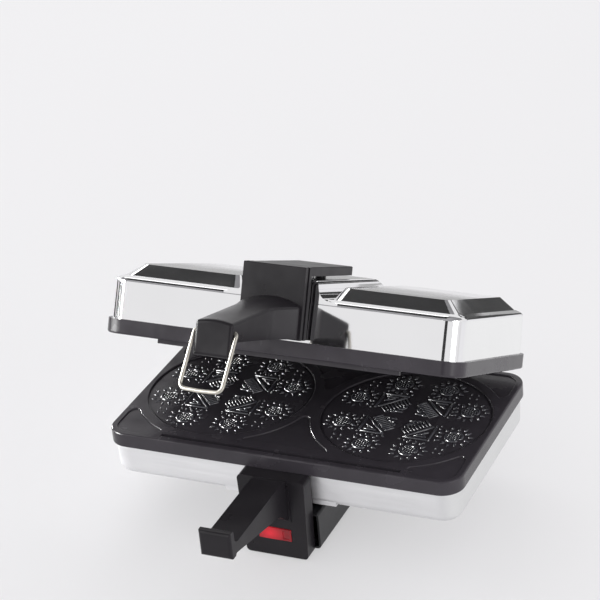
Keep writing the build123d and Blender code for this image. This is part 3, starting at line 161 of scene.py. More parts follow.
# ---------------------------------------------------------------- settings
class KrumkakeReliefSettings(bpy.types.PropertyGroup):
    """Sizes of the raised pattern on the baking discs."""

    disc_pitch: bpy.props.FloatProperty(
        name="Disc Pitch", description="Distance between the centres of the two discs",
        default=0.142, min=0, unit="LENGTH")
    disc_depth: bpy.props.FloatProperty(
        name="Disc Depth", description="Depth of a disc's floor below the baking face",
        default=0.0012, min=0, unit="LENGTH")
    relief_height: bpy.props.FloatProperty(
        name="Relief Height", description="Height of the flowers and bars above the disc's floor",
        default=0.0011, min=0, unit="LENGTH")
    flower_circle: bpy.props.FloatProperty(
        name="Flower Circle", description="Distance of the flowers from the disc's centre",
        default=0.0472, min=0, unit="LENGTH")
    flower_size: bpy.props.FloatProperty(
        name="Flower Size", description="Distance of the petals from a flower's centre",
        default=0.0106, min=0, unit="LENGTH")
    petals: bpy.props.IntProperty(
        name="Petals", description="Number of petals round a flower", default=14, min=5)


class KrumkakeCableSettings(bpy.types.PropertyGroup):
    """Sizes of the sleeved lead that crosses the hinge."""

    radius: bpy.props.FloatProperty(
        name="Sleeve Radius", description="Half the sleeve's thickness",
        default=0.0034, min=0, unit="LENGTH")
    bend: bpy.props.FloatProperty(
        name="Bend Radius", description="Radius of the lead's bend over the hinge",
        default=0.018, min=0, unit="LENGTH")
    inside: bpy.props.FloatProperty(
        name="Length Inside", description="Length of the lead that lies inside the lid",
        default=CABLE_INSIDE, min=0, unit="LENGTH")


class KrumkakeFinishSettings(bpy.types.PropertyGroup):
    """Colours and gloss of the iron's finishes."""

    coat_color: bpy.props.FloatVectorProperty(
        name="Non-stick Coat", description="Colour of the coat on the baking plates",
        subtype="COLOR", size=3, min=0, max=1, default=(0.046, 0.041, 0.049))
    coat_roughness: bpy.props.FloatProperty(
        name="Coat Roughness", description="How matt the non-stick coat is",
        min=0, max=1, default=0.23, subtype="FACTOR")
    # Painted sheen: the raised pattern's coat colour is set lighter and bluer than the flat coat
    relief_sheen_color: bpy.props.FloatVectorProperty(
        name="Relief Coat With Painted Sheen", description="Colour of the coat on the raised pattern",
        subtype="COLOR", size=3, min=0, max=1, default=(0.050, 0.049, 0.060))
    relief_roughness: bpy.props.FloatProperty(
        name="Rubbed Roughness", description="How matt the coat on the raised pattern is",
        min=0, max=1, default=0.20, subtype="FACTOR")
    phenolic_color: bpy.props.FloatVectorProperty(
        name="Handle Moulding", description="Colour of the moulded handles and legs",
        subtype="COLOR", size=3, min=0, max=1, default=(0.0175, 0.0155, 0.0185))
    phenolic_roughness: bpy.props.FloatProperty(
        name="Moulding Roughness", description="How matt the moulded handles are",
        min=0, max=1, default=0.32, subtype="FACTOR")
    chrome_color: bpy.props.FloatVectorProperty(
        name="Chrome", description="Tint of the upper pan's plating",
        subtype="COLOR", size=3, min=0, max=1, default=(0.90, 0.90, 0.91))
    satin_color: bpy.props.FloatVectorProperty(
        name="Satin Steel", description="Tint of the lower pan's steel",
        subtype="COLOR", size=3, min=0, max=1, default=(0.76, 0.76, 0.77))
    wire_color: bpy.props.FloatVectorProperty(
        name="Bail Wire", description="Tint of the bail's steel wire",
        subtype="COLOR", size=3, min=0, max=1, default=(0.50, 0.48, 0.43))
    lens_color: bpy.props.FloatVectorProperty(
        name="Indicator Lens", description="Colour of the indicator's window",
        subtype="COLOR", size=3, min=0, max=1, default=(0.42, 0.012, 0.022))


class KrumkakeStageSettings(bpy.types.PropertyGroup):
    """Floor, lamps and camera."""

    floor_color: bpy.props.FloatVectorProperty(
        name="Floor", description="Colour of the plain pale floor",
        subtype="COLOR", size=3, min=0, max=1, default=(0.80, 0.795, 0.82))
    floor_size: bpy.props.FloatProperty(
        name="Floor Size", description="Length of the floor's sides",
        min=1, default=30.0, unit="LENGTH")
    floor_share: bpy.props.FloatProperty(
        name="Floor Glow Share", description="Share of the floor's seen brightness that is its own",
        min=0, max=1, default=0.5, subtype="FACTOR")
    floor_glow: bpy.props.FloatProperty(
        name="Floor Glow", description="Strength of the floor's own brightness",
        min=0, max=1, default=0.92)
    room_strength: bpy.props.FloatProperty(
        name="Room Light", description="Strength of the plain light of the room",
        min=0, default=0.80)
    backdrop_strength: bpy.props.FloatProperty(
        name="Backdrop", description="Strength of the room as the camera and the metal see it",
        min=0, max=1, default=0.87)
    key_power: bpy.props.FloatProperty(
        name="Left Softbox", description="Power of the softbox that lights the edges from the left",
        min=0, default=45.0, unit="POWER")
    fill_power: bpy.props.FloatProperty(
        name="Back Softbox", description="Power of the large softbox behind",
        min=0, default=12.0, unit="POWER")
    edge_power: bpy.props.FloatProperty(
        name="Edge Strip", description="Power of the low strip that lights the pockets' edges",
        min=0, default=20.0, unit="POWER")
    front_power: bpy.props.FloatProperty(
        name="Front Softbox",
        description="Power of the softbox that lights the relief's near edges",
        min=0, default=75.0, unit="POWER")
    side_power: bpy.props.FloatProperty(
        name="Right Softbox", description="Power of the low softbox on the right",
        min=0, default=6.0, unit="POWER")
    lens: bpy.props.FloatProperty(
        name="Lens", description="Focal length of the camera, in millimetres",
        min=10, default=130.0)


# ---------------------------------------------------------------- helpers
def deselect():
    """Nothing is selected and no object is active."""
    bpy.ops.object.select_all(action="DESELECT")
    bpy.context.view_layer.objects.active = None


def take(*objects):
    """Select these objects, the first of them active."""
    deselect()
    for obj in objects:
        obj.select_set(True)
    bpy.context.view_layer.objects.active = objects[0]


def pick(obj, test):
    """Select the vertices that pass a test of their place, and open edit mode."""
    take(obj)
    bpy.ops.object.mode_set(mode="EDIT")
    bpy.ops.mesh.select_mode(type="VERT")
    bpy.ops.mesh.select_all(action="DESELECT")
    bpy.ops.object.mode_set(mode="OBJECT")
    for vertex in obj.data.vertices:
        vertex.select = test(vertex.co)
    bpy.ops.object.mode_set(mode="EDIT")


def finish_shape(obj, name, smooth):
    """Close edit mode, merge doubles, point faces outwards and shade by angle."""
    take(obj)
    bpy.ops.object.mode_set(mode="EDIT")
    bpy.ops.mesh.select_all(action="SELECT")
    bpy.ops.mesh.remove_doubles(threshold=MERGE)
    bpy.ops.mesh.normals_make_consistent(inside=False)
    bpy.ops.object.mode_set(mode="OBJECT")
    bpy.ops.object.shade_smooth_by_angle(angle=radians(smooth))
    obj.name = name
    obj.data.name = name
    return obj


def copied(piece, places):
    """Copies of a piece, each with its own mesh, at (x, y, turn, size) places."""
    made = []
    for x, y, turn, size in places:
        copy = piece.copy()
        copy.data = piece.data.copy()
        turned = Matrix.Rotation(turn, 4, "Z") @ Matrix.Diagonal((size, size, 1, 1))
        copy.data.transform(Matrix.Translation((x, y, 0)) @ turned)
        bpy.context.scene.collection.objects.link(copy)
        made.append(copy)
    return made


def join(pieces, name):
    """One object from several."""
    take(*pieces)
    bpy.ops.object.join()
    whole = bpy.context.view_layer.objects.active
    whole.name = name
    whole.data.name = name
    return whole


def discard(*pieces):
    """Remove the patterns that the copies were made from."""
    for piece in pieces:
        bpy.data.objects.remove(piece)


# ---------------------------------------------------------------- baking relief
def bead(radius, height, name, segments=7):
    """Low round dome on its own flat base."""
    deselect()
    bpy.ops.mesh.primitive_uv_sphere_add(
        segments=segments, ring_count=6, radius=1, location=(0, 0, 0))
    obj = bpy.context.active_object
    bpy.ops.object.mode_set(mode="EDIT")
    bpy.ops.mesh.select_all(action="SELECT")
    just_below = (0, 0, -0.001)
    bpy.ops.mesh.bisect(plane_co=just_below, plane_no=(0, 0, 1), use_fill=True, clear_inner=True)
    bpy.ops.mesh.select_all(action="SELECT")
    bpy.ops.transform.resize(value=(radius, radius, height), center_override=(0, 0, 0))
    bpy.ops.object.mode_set(mode="OBJECT")
    return finish_shape(obj, name, 80.0)


def petal(length, width, height):
    """Teardrop: a dome drawn out to a point at its outer end."""
    half, shoulder, tip = length * 0.4, length * 0.12, length * 0.3
    narrowed = (1, 0.55, 0.85)
    drawn_out = length * 0.22
    obj = bead(1.0, height, "petal", 8)
    take(obj)
    bpy.ops.object.mode_set(mode="EDIT")
    bpy.ops.mesh.select_all(action="SELECT")
    bpy.ops.transform.resize(value=(half, width / 2, 1), center_override=(0, 0, 0))
    bpy.ops.object.mode_set(mode="OBJECT")
    pick(obj, lambda co: co.x > shoulder)
    bpy.ops.transform.resize(value=narrowed, center_override=(0, 0, 0))
    bpy.ops.object.mode_set(mode="OBJECT")
    pick(obj, lambda co: co.x > tip)
    bpy.ops.transform.translate(value=(drawn_out, 0, 0))
    bpy.ops.object.mode_set(mode="OBJECT")
    return finish_shape(obj, "petal", 80.0)


def bar(length, width, height):
    """Straight half round bar along X, with rounded ends."""
    end = length / 2 - width * 0.4      # where an end starts to taper
    tapered = (1, 0.5, 0.45)
    deselect()
    bpy.ops.mesh.primitive_cylinder_add(
        vertices=10, radius=width / 2, depth=length, location=(0, 0, 0), rotation=(0, pi / 2, 0))
    obj = bpy.context.active_object
    bpy.ops.object.transform_apply(location=True, rotation=True, scale=True)
    bpy.ops.object.mode_set(mode="EDIT")
    bpy.ops.mesh.select_all(action="SELECT")
    bpy.ops.mesh.bisect(plane_co=(end, 0, 0), plane_no=(1, 0, 0))
    bpy.ops.mesh.select_all(action="SELECT")
    bpy.ops.mesh.bisect(plane_co=(-end, 0, 0), plane_no=(1, 0, 0))
    bpy.ops.mesh.select_all(action="SELECT")
    just_below = (0, 0, -width * 0.02)
    bpy.ops.mesh.bisect(plane_co=just_below, plane_no=(0, 0, 1), use_fill=True, clear_inner=True)
    bpy.ops.mesh.select_all(action="SELECT")
    bpy.ops.transform.resize(value=(1, 1, 2 * height / width), center_override=(0, 0, 0))
    bpy.ops.object.mode_set(mode="OBJECT")
    pick(obj, lambda co: abs(co.x) > length / 2 - width * 0.2)
    bpy.ops.transform.resize(value=tapered, center_override=(0, 0, 0))
    bpy.ops.object.mode_set(mode="OBJECT")
    return finish_shape(obj, "bar", 75.0)


def arc(radius, half_width, height, sweep, steps):
    """Raised arc about the origin, centred on +X, thinner at its two ends.

    Spin turns against the sign of its angle."""
    deselect()
    start = -sweep / 2
    place = (radius * cos(start), radius * sin(start), 0)
    bpy.ops.mesh.primitive_circle_add(
        vertices=8, radius=half_width, location=place, rotation=(pi / 2, 0, start))
    obj = bpy.context.active_object
    bpy.ops.object.transform_apply(location=True, rotation=True, scale=True)
    bpy.ops.object.mode_set(mode="EDIT")
    bpy.ops.mesh.select_all(action="SELECT")
    bpy.ops.mesh.spin(steps=steps, angle=-sweep, center=(0, 0, 0), axis=(0, 0, 1))
    bpy.ops.mesh.select_all(action="SELECT")
    bpy.ops.mesh.fill_holes(sides=8)
    bpy.ops.mesh.select_all(action="SELECT")
    bpy.ops.transform.resize(value=(1, 1, height / half_width), center_override=(0, 0, 0))
    bpy.ops.mesh.select_all(action="SELECT")
    just_below = (0, 0, -ARC_CUT)
    bpy.ops.mesh.bisect(plane_co=just_below, plane_no=(0, 0, 1), use_fill=True, clear_inner=True)
    bpy.ops.object.mode_set(mode="OBJECT")
    for side in (-1, 1):
        end = side * sweep / 2
        centre = (radius * cos(end), radius * sin(end), 0)
        pick(obj, lambda co: abs(atan2(co.y, co.x) - end) < sweep / steps * 0.3)
        bpy.ops.transform.resize(value=(ARC_TAPER,) * 3, center_override=centre)
        bpy.ops.object.mode_set(mode="OBJECT")
    return finish_shape(obj, "arc", 70.0)


def flower(settings):
    """One flower: a beaded heart in a raised rim, and petals round it."""
    height = settings.relief_height
    reach = settings.flower_size
    seed = bead(SEED_RADIUS, height * 0.9, "seed")
    leaf = petal(PETAL_LENGTH, PETAL_WIDTH, height)
    rim = arc(reach * RIM, RIM_HALF_WIDTH, height, RIM_SWEEP, RIM_STEPS)
    seeds = []
    for i in range(-3, 4):
        for j in range(-3, 4):
            x = SEED_ROW * (i + 0.5 * (j % 2))
            y = SEED_ROW * ROW_PITCH * j
            if hypot(x, y) < reach * HEART:
                seeds.append((x, y, 0, 1))
    count = settings.petals
    leaves = []
    for k in range(count):
        turn = 2 * pi * k / count
        stand, size = (1.0, 1.0) if k % 2 else (OUTER_PETAL, OUTER_SIZE)
        out = reach * stand
        leaves.append((out * cos(turn), out * sin(turn), turn, size))
    rims = [(0, 0, radians(turn), 1) for turn in RIM_TURNS]
    whole = join(copied(seed, seeds) + copied(leaf, leaves) + copied(rim, rims), "flower")
    discard(seed, leaf, rim)
    return whole


def corner_motif(settings):
    """The motif of one quadrant: nested triangles, a comb of rungs, scallops and dots.

    The triangle's corners are (near, far), (far, far) and (far, low)."""
    height = settings.relief_height
    pieces = []

    def stroke(x0, y0, x1, y1, width, rise):
        """Bar from one point to another."""
        stick = bar(hypot(x1 - x0, y1 - y0), width, rise)
        pieces.extend(copied(stick, [((x0 + x1) / 2, (y0 + y1) / 2, atan2(y1 - y0, x1 - x0), 1)]))
        discard(stick)

    near, far, low = 0.0072, 0.0262, 0.0068
    outer = far + STROKE_STEP
    stroke(near, outer, far, outer, 0.0018, height)
    stroke(outer, far, outer, low, 0.0018, height)
    stroke(near + 0.0015, far - 0.0005, far - 0.0005, low + 0.0015, 0.0019, height)
    stroke(near + 0.0075, far - 0.0024, far - 0.0018, far - 0.0024, 0.0014, height)
    stroke(near + 0.0095, far - 0.0037, far - 0.0018, low + 0.0105, 0.0015, height)
    stroke(far - 0.0065, far - 0.0052, far - 0.0035, far - 0.0052, 0.0010, height * 0.8)
    rung = bar(RUNG_LENGTH, RUNG_WIDTH, height)
    slope = atan2(low - far, far - near)
    along = Vector((cos(slope), sin(slope)))
    inward = Vector((along.y, -along.x))
    if inward.x > 0:
        inward = -inward
    middle = Vector(((near + far) / 2, (far + low) / 2)) + inward * COMB_IN
    turn = atan2(inward.y, inward.x)
    for k in range(RUNGS):
        spot = middle + along * RUNG_STEP * (k - RUNGS // 2)
        pieces.extend(copied(rung, [(spot.x, spot.y, turn, 1)]))
    scallop = arc(SCALLOP_RADIUS, SCALLOP_HALF_WIDTH, height, SCALLOP_SWEEP, SCALLOP_STEPS)
    for shift in (-SCALLOP_OFF, SCALLOP_OFF):
        spot = middle + inward * SCALLOP_IN + along * shift
        pieces.extend(copied(scallop, [(spot.x, spot.y, turn, 1)]))
    stroke(0.0048, 0.0052, 0.0112, 0.0052, 0.0018, height)
    stroke(0.0054, 0.0086, 0.0102, 0.0086, 0.0017, height)
    dot = bead(SEED_RADIUS, height, "dot")
    pieces.extend(copied(dot, [(x, y, 0, 1) for x, y in CORNER_DOTS]))
    discard(rung, scallop, dot)
    return join(pieces, "corner_motif")


def mirrored(piece, sx, sy):
    """Copy of a piece mirrored across X and Y."""
    copy = piece.copy()
    copy.data = piece.data.copy()
    copy.data.transform(Matrix.Diagonal((sx, sy, 1, 1)))
    if sx * sy < 0:
        copy.data.flip_normals()
    bpy.context.scene.collection.objects.link(copy)
    return copy


def disc_relief(settings):
    """The whole raised pattern of one disc, centred on the origin with its base at z = 0."""
    blossom = flower(settings)
    out = settings.flower_circle
    turns = [radians(FIRST_FLOWER + FLOWER_STEP * k) for k in range(8)]
    spun = radians(FLOWER_TURN)
    flowers = copied(blossom, [(out * cos(turn), out * sin(turn), spun, 1) for turn in turns])
    motif = corner_motif(settings)
    corners = [mirrored(motif, sx, sy) for sx in (-1, 1) for sy in (-1, 1)]
    dot = bead(GAP_DOT_RADIUS, settings.relief_height, "dot")
    dots = []
    for quarter in range(4):
        for out, off in GAP_DOTS:
            turn = radians(45 + 90 * quarter + off)
            dots.append((out * cos(turn), out * sin(turn), 0, 1))
    spots = copied(dot, dots)
    discard(blossom, motif, dot)
    return join(flowers + corners + spots, "disc_relief")


# ---------------------------------------------------------------- hinge lead
def push(direction, length, steps):
    """Extrude the selected ring along a direction in equal steps."""
    for _ in range(steps):
        bpy.ops.mesh.extrude_region_move(
            TRANSFORM_OT_translate={"value": direction * (length / steps)})


def hinge_lead(settings):
    """Sleeved lead out of the back leg, round behind the pin and into the lid.

    Gives the piece, its foot's centre and its centre at the lid's back wall."""
    low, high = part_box("hinge_cable")
    radius = settings.radius
    up = Vector((0, 0, 1))
    into = Vector((0, -cos(OPENING), sin(OPENING)))
    start = Vector((0, high.y - radius, low.z))
    end = Vector((0, low.y + radius * sin(OPENING), high.z - radius * cos(OPENING)))
    reach = (start.y - end.y) / cos(OPENING)
    tangent = settings.bend * tan((pi / 2 - OPENING) / 2)
    rise = (end - into * reach).z - tangent - start.z
    deselect()
    bpy.ops.mesh.primitive_circle_add(vertices=LEAD_SIDES, radius=radius, location=start)
    obj = bpy.context.active_object
    bpy.ops.object.transform_apply(location=True, rotation=True, scale=True)
    bpy.ops.object.mode_set(mode="EDIT")
    bpy.ops.mesh.select_all(action="SELECT")
    push(up, rise, LEAD_STEPS)
    middle = start + up * rise - Vector((0, settings.bend, 0))
    bpy.ops.mesh.spin(steps=LEAD_STEPS, angle=OPENING - pi / 2, center=middle, axis=(1, 0, 0))
    push(into, reach - tangent, LEAD_END_STEPS)
    bpy.ops.mesh.select_all(action="SELECT")
    bpy.ops.mesh.fill_holes(sides=LEAD_SIDES)
    bpy.ops.object.mode_set(mode="OBJECT")
    return finish_shape(obj, "hinge_lead", 60.0), start, end - into * settings.inside


# ---------------------------------------------------------------- node tools
class Finish:
    """A material under construction, with short calls for its nodes."""

    def __init__(self, name):
        self.material = bpy.data.materials.new(name)
        self.material.use_nodes = True
        self.tree = self.material.node_tree
        self.shader = self.tree.nodes["Principled BSDF"]
        self.coordinates = self.tree.nodes.new("ShaderNodeTexCoord").outputs["Object"]

    def node(self, kind, **values):
        """Add a node; inputs by name, other settings as attributes."""
        made = self.tree.nodes.new(kind)
        for key, value in values.items():
            if key in made.inputs:
                made.inputs[key].default_value = value
            else:
                setattr(made, key, value)
        return made

    def link(self, source, target):
        """Join an output to an input."""
        self.tree.links.new(source, target)

    def set(self, **values):
        """Constant values on the shader's own sockets."""
        for key, value in values.items():
            socket = self.shader.inputs[key.replace("_", " ")]
            socket.default_value = (*value, 1.0) if socket.type == "RGBA" else value

    def mapped(self, scale, location=(0, 0, 0)):
        """Object coordinates, scaled and moved."""
        mapping = self.node("ShaderNodeMapping")
        mapping.inputs["Scale"].default_value = scale
        mapping.inputs["Location"].default_value = location
        self.link(self.coordinates, mapping.inputs["Vector"])
        return mapping.outputs["Vector"]

    def noise(self, scale, detail=3.0, stretch=(1, 1, 1)):
        """Grey noise over the piece; scale in cells per metre."""
        noise = self.node("ShaderNodeTexNoise", Scale=scale, Detail=detail)
        self.link(self.mapped(stretch), noise.inputs["Vector"])
        return noise.outputs["Fac"]

    def spread(self, source, low, high, start=0.3, end=0.7):
        """Map a grey value from start..end to low..high."""
        ranged = self.node("ShaderNodeMapRange")
        ranged.inputs["From Min"].default_value = start
        ranged.inputs["From Max"].default_value = end
        ranged.inputs["To Min"].default_value = low
        ranged.inputs["To Max"].default_value = high
        self.link(source, ranged.inputs["Value"])
        return ranged.outputs["Result"]

    def tint(self, source, dark, light):
        """Colour between two tints by a grey value."""
        mix = self.node("ShaderNodeMix", data_type="RGBA")
        first, second = [socket for socket in mix.inputs if socket.type == "RGBA"]
        first.default_value = (*dark, 1.0)
        second.default_value = (*light, 1.0)
        self.link(source, mix.inputs["Factor"])
        result = [socket for socket in mix.outputs if socket.type == "RGBA"][0]
        self.link(result, self.shader.inputs["Base Color"])

    def roughness(self, source, low, high):
        """Roughness between two values by a grey value."""
        self.link(self.spread(source, low, high), self.shader.inputs["Roughness"])

    def bump(self, layers):
        """Bump from (grey source, strength, height in metres) layers."""
        normal = None
        for source, strength, height in layers:
            bump = self.node("ShaderNodeBump", Strength=strength, Distance=height)
            self.link(source, bump.inputs["Height"])
            if normal is not None:
                self.link(normal, bump.inputs["Normal"])
            normal = bump.outputs["Normal"]
        self.link(normal, self.shader.inputs["Normal"])


def shaded(colour, factor):
    """A colour made lighter or darker."""
    return tuple(min(1.0, c * factor) for c in colour)


def plain_finish(name, colour, metallic, low, high,
                 grain=900.0, depth=0.00002, variation=0.12):
    """Finish with a little colour variation, uneven gloss and a fine grain."""
    finish = Finish(name)
    finish.set(Metallic=metallic)
    broad = finish.noise(38.0)
    fine = finish.noise(grain, 4.0)
    finish.tint(broad, shaded(colour, 1 - variation), shaded(colour, 1 + variation))
    finish.roughness(broad, low, high)
    finish.bump([(fine, 0.35, depth)])
    return finish.material


def coat_finish(settings):
    """Black non-stick coat: fine sprayed grain over faint waves, and faint mottling."""
    finish = Finish("nonstick_coat")
    colour = tuple(settings.coat_color)
    gloss = settings.coat_roughness
    finish.set(Specular_IOR_Level=0.32)
    mottled = finish.noise(55.0, 5.0)
    finish.tint(mottled, shaded(colour, 0.8), shaded(colour, 1.35))
    finish.roughness(mottled, gloss - 0.07, gloss + 0.07)
    grain = finish.noise(2600.0, 2.0)
    waves = finish.noise(320.0, 3.0)
    finish.bump([(grain, 0.22, 0.00002), (waves, 0.10, 0.00006)])
    return finish.material


def relief_finish(settings):
    """The same coat on the raised pattern, glossier where baking and wiping rub it; its lighter, bluer tint is a
    painted sheen.
    """
    finish = Finish("rubbed_coat")
    colour = tuple(settings.relief_sheen_color)
    gloss = settings.relief_roughness
    finish.set(Specular_IOR_Level=0.75)
    relief_sheen = finish.noise(70.0, 4.0)
    # painted sheen: the raised pattern's tint is lighter and bluer than the flat coat's
    finish.tint(relief_sheen, shaded(colour, 0.8), shaded(colour, 1.3))
    finish.roughness(relief_sheen, gloss - 0.04, gloss + 0.05)
    grain = finish.noise(1800.0, 2.0)
    finish.bump([(grain, 0.15, 0.00002)])
    return finish.material


def chrome_finish(settings):
    """Bright chrome: nearly a mirror, with faint waves of the stamping and wiped smears."""
    finish = Finish("bright_chrome")
    colour = tuple(settings.chrome_color)
    finish.set(Metallic=1.0)
    smear = finish.noise(24.0, 4.0, (1, 2.6, 1))
    finish.tint(smear, shaded(colour, 0.97), shaded(colour, 1.02))
    finish.roughness(smear, 0.035, 0.075)
    waves = finish.noise(14.0, 1.0)
    finish.bump([(waves, 0.10, 0.0006)])
    return finish.material


def satin_finish(settings):
    """Polished steel sheet with the fine lines of its brushing along the walls."""
    finish = Finish("satin_steel")
    colour = tuple(settings.satin_color)
    finish.set(Metallic=1.0)
    lines = finish.noise(420.0, 3.0, (0.03, 0.03, 1.6))
    cloudy = finish.noise(30.0)
    finish.tint(cloudy, shaded(colour, 0.94), shaded(colour, 1.04))
    finish.roughness(lines, 0.32, 0.44)
    finish.bump([(lines, 0.08, 0.00002)])
    return finish.material


def phenolic_finish(settings):
    """Black phenolic moulding: smooth, a little dull, with fine pits and shallow waves."""
    finish = Finish("phenolic")
    colour = tuple(settings.phenolic_color)
    gloss = settings.phenolic_roughness
    finish.set(Specular_IOR_Level=0.2)
    cloudy = finish.noise(42.0, 4.0)
    finish.tint(cloudy, shaded(colour, 0.85), shaded(colour, 1.3))
    finish.roughness(cloudy, gloss - 0.05, gloss + 0.06)
    pits = finish.noise(1500.0, 3.0)
    waves = finish.noise(90.0, 2.0)
    finish.bump([(pits, 0.12, 0.00003), (waves, 0.08, 0.0002)])
    return finish.material


def lens_finish(settings):
    """Red indicator window, lit from behind on its left."""
    finish = Finish("indicator_lens")
    colour = tuple(settings.lens_color)
    low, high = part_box("indicator_lens")
    width = high.x - low.x
    lit_x = low.x + width * LENS_LIT_AT
    lit_z = (low.z + high.z) / 2
    finish.set(Transmission_Weight=0.25, IOR=1.49)
    cloudy = finish.noise(160.0, 3.0)
    finish.tint(cloudy, shaded(colour, 0.8), shaded(colour, 1.15))
    finish.roughness(cloudy, 0.12, 0.2)
    across = 1 / (width * LENS_LIT_REACH)
    upright = across * LENS_LIT_UPRIGHT
    place = finish.mapped((across, 0, upright), (-lit_x * across, 0, -lit_z * upright))
    glow = finish.node("ShaderNodeTexGradient", gradient_type="SPHERICAL")
    finish.link(place, glow.inputs["Vector"])
    finish.shader.inputs["Emission Color"].default_value = LENS_LIGHT
    strength = finish.spread(glow.outputs["Fac"], 0.0, LENS_GLOW, 0.0, 0.9)
    finish.link(strength, finish.shader.inputs["Emission Strength"])
    ribs = finish.noise(700.0, 2.0)
    finish.bump([(ribs, 0.1, 0.00004)])
    return finish.material


def sleeve_finish():
    """Black sleeve: matt, with the grain of its threads."""
    return plain_finish(
        "woven_sleeve", (0.03, 0.03, 0.032), 0.0, 0.7, 0.85, grain=500.0, depth=0.0001)


# ---------------------------------------------------------------- operators
class KRUMKAKE_OT_relief(bpy.types.Operator):
    """Raise the traditional flower pattern on the four baking discs."""

    bl_idname = "krumkake.relief"
    bl_label = "Baking Relief"
    bl_options = {"REGISTER", "UNDO"}

    def execute(self, context):
        settings = context.scene.krumkake_relief
        pattern = disc_relief(settings)
        low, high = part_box("lower_plate")
        middle_y = (low.y + high.y) / 2
        floor_z = high.z - settings.disc_depth
        hinge = Vector(JOINTS["lid_hinge"]["pos_m"])
        opened = Matrix.Rotation(-OPENING, 4, "X")
        lift = Matrix.Translation(hinge) @ opened @ Matrix.Translation(-hinge)
        roof_z = high.z + PLATE_GAP + settings.disc_depth
        for side, label in ((-1, "left"), (1, "right")):
            x = side * settings.disc_pitch / 2
            lower = Matrix.Translation((x, middle_y, floor_z - SUNK))
            upper = (lift @ Matrix.Translation((x, middle_y, roof_z + SUNK))
                     @ Matrix.Rotation(pi, 4, "X"))
            for body, plate, place in (("base", "lower", lower), ("lid", "upper", upper)):
                relief = pattern.copy()
                relief.data = pattern.data.copy()
                relief.data.transform(place)
                relief.name = plate + "_" + label + "_disc_relief"
                bpy.context.scene.collection.objects.link(relief)
                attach(relief, body)
                RELIEFS.append(relief)
        discard(pattern)
        return {"FINISHED"}


class KRUMKAKE_OT_hinge_lead(bpy.types.Operator):
    """Make the sleeved lead, shaped as it lies over the hinge with the lid open."""

    bl_idname = "krumkake.hinge_lead"
    bl_label = "Hinge Lead"
    bl_options = {"REGISTER", "UNDO"}

    def execute(self, context):
        lead, foot, wall = hinge_lead(context.scene.krumkake_cable)
        foot.z = JOINTS["lid_hinge"]["pos_m"][2] - LEAD_BEND_BELOW
        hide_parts("hinge_cable")
        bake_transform(lead)
        return {"FINISHED"}


class KRUMKAKE_OT_finishes(bpy.types.Operator):
    """Give every part of the iron its finish."""

    bl_idname = "krumkake.finishes"
    bl_label = "Finishes"
    bl_options = {"REGISTER", "UNDO"}

    def execute(self, context):
        settings = context.scene.krumkake_finish
        wire = tuple(settings.wire_color)
        made = {
            "nonstick_plate": coat_finish(settings),
            "chrome_pan": chrome_finish(settings),
            "satin_pan": satin_finish(settings),
            "phenolic": phenolic_finish(settings),
            "red_lens": lens_finish(settings),
            "black_sleeve": sleeve_finish(),
            "bright_wire": plain_finish(
                "bright_wire", wire, 1.0, 0.38, 0.48, grain=700.0, depth=0.00001,
                variation=0.05),
        }
        for slot, values in PLAIN_FINISHES.items():
            made[slot] = plain_finish(*values)
        for part in frame["record"]["subparts"]:
            node = NODES[part["node"]]
            finish = made[part["material_slot"]]
            for slot in node.material_slots:
                slot.material = finish
            if not node.material_slots:
                node.data.materials.append(finish)
        bpy.data.objects["hinge_lead"].data.materials.append(made["black_sleeve"])
        # the raised pattern's coat, its lighter, bluer tint a painted sheen
        relief_sheen = relief_finish(settings)
        for relief in RELIEFS:
            relief.data.materials.clear()
            relief.data.materials.append(relief_sheen)
        return {"FINISHED"}


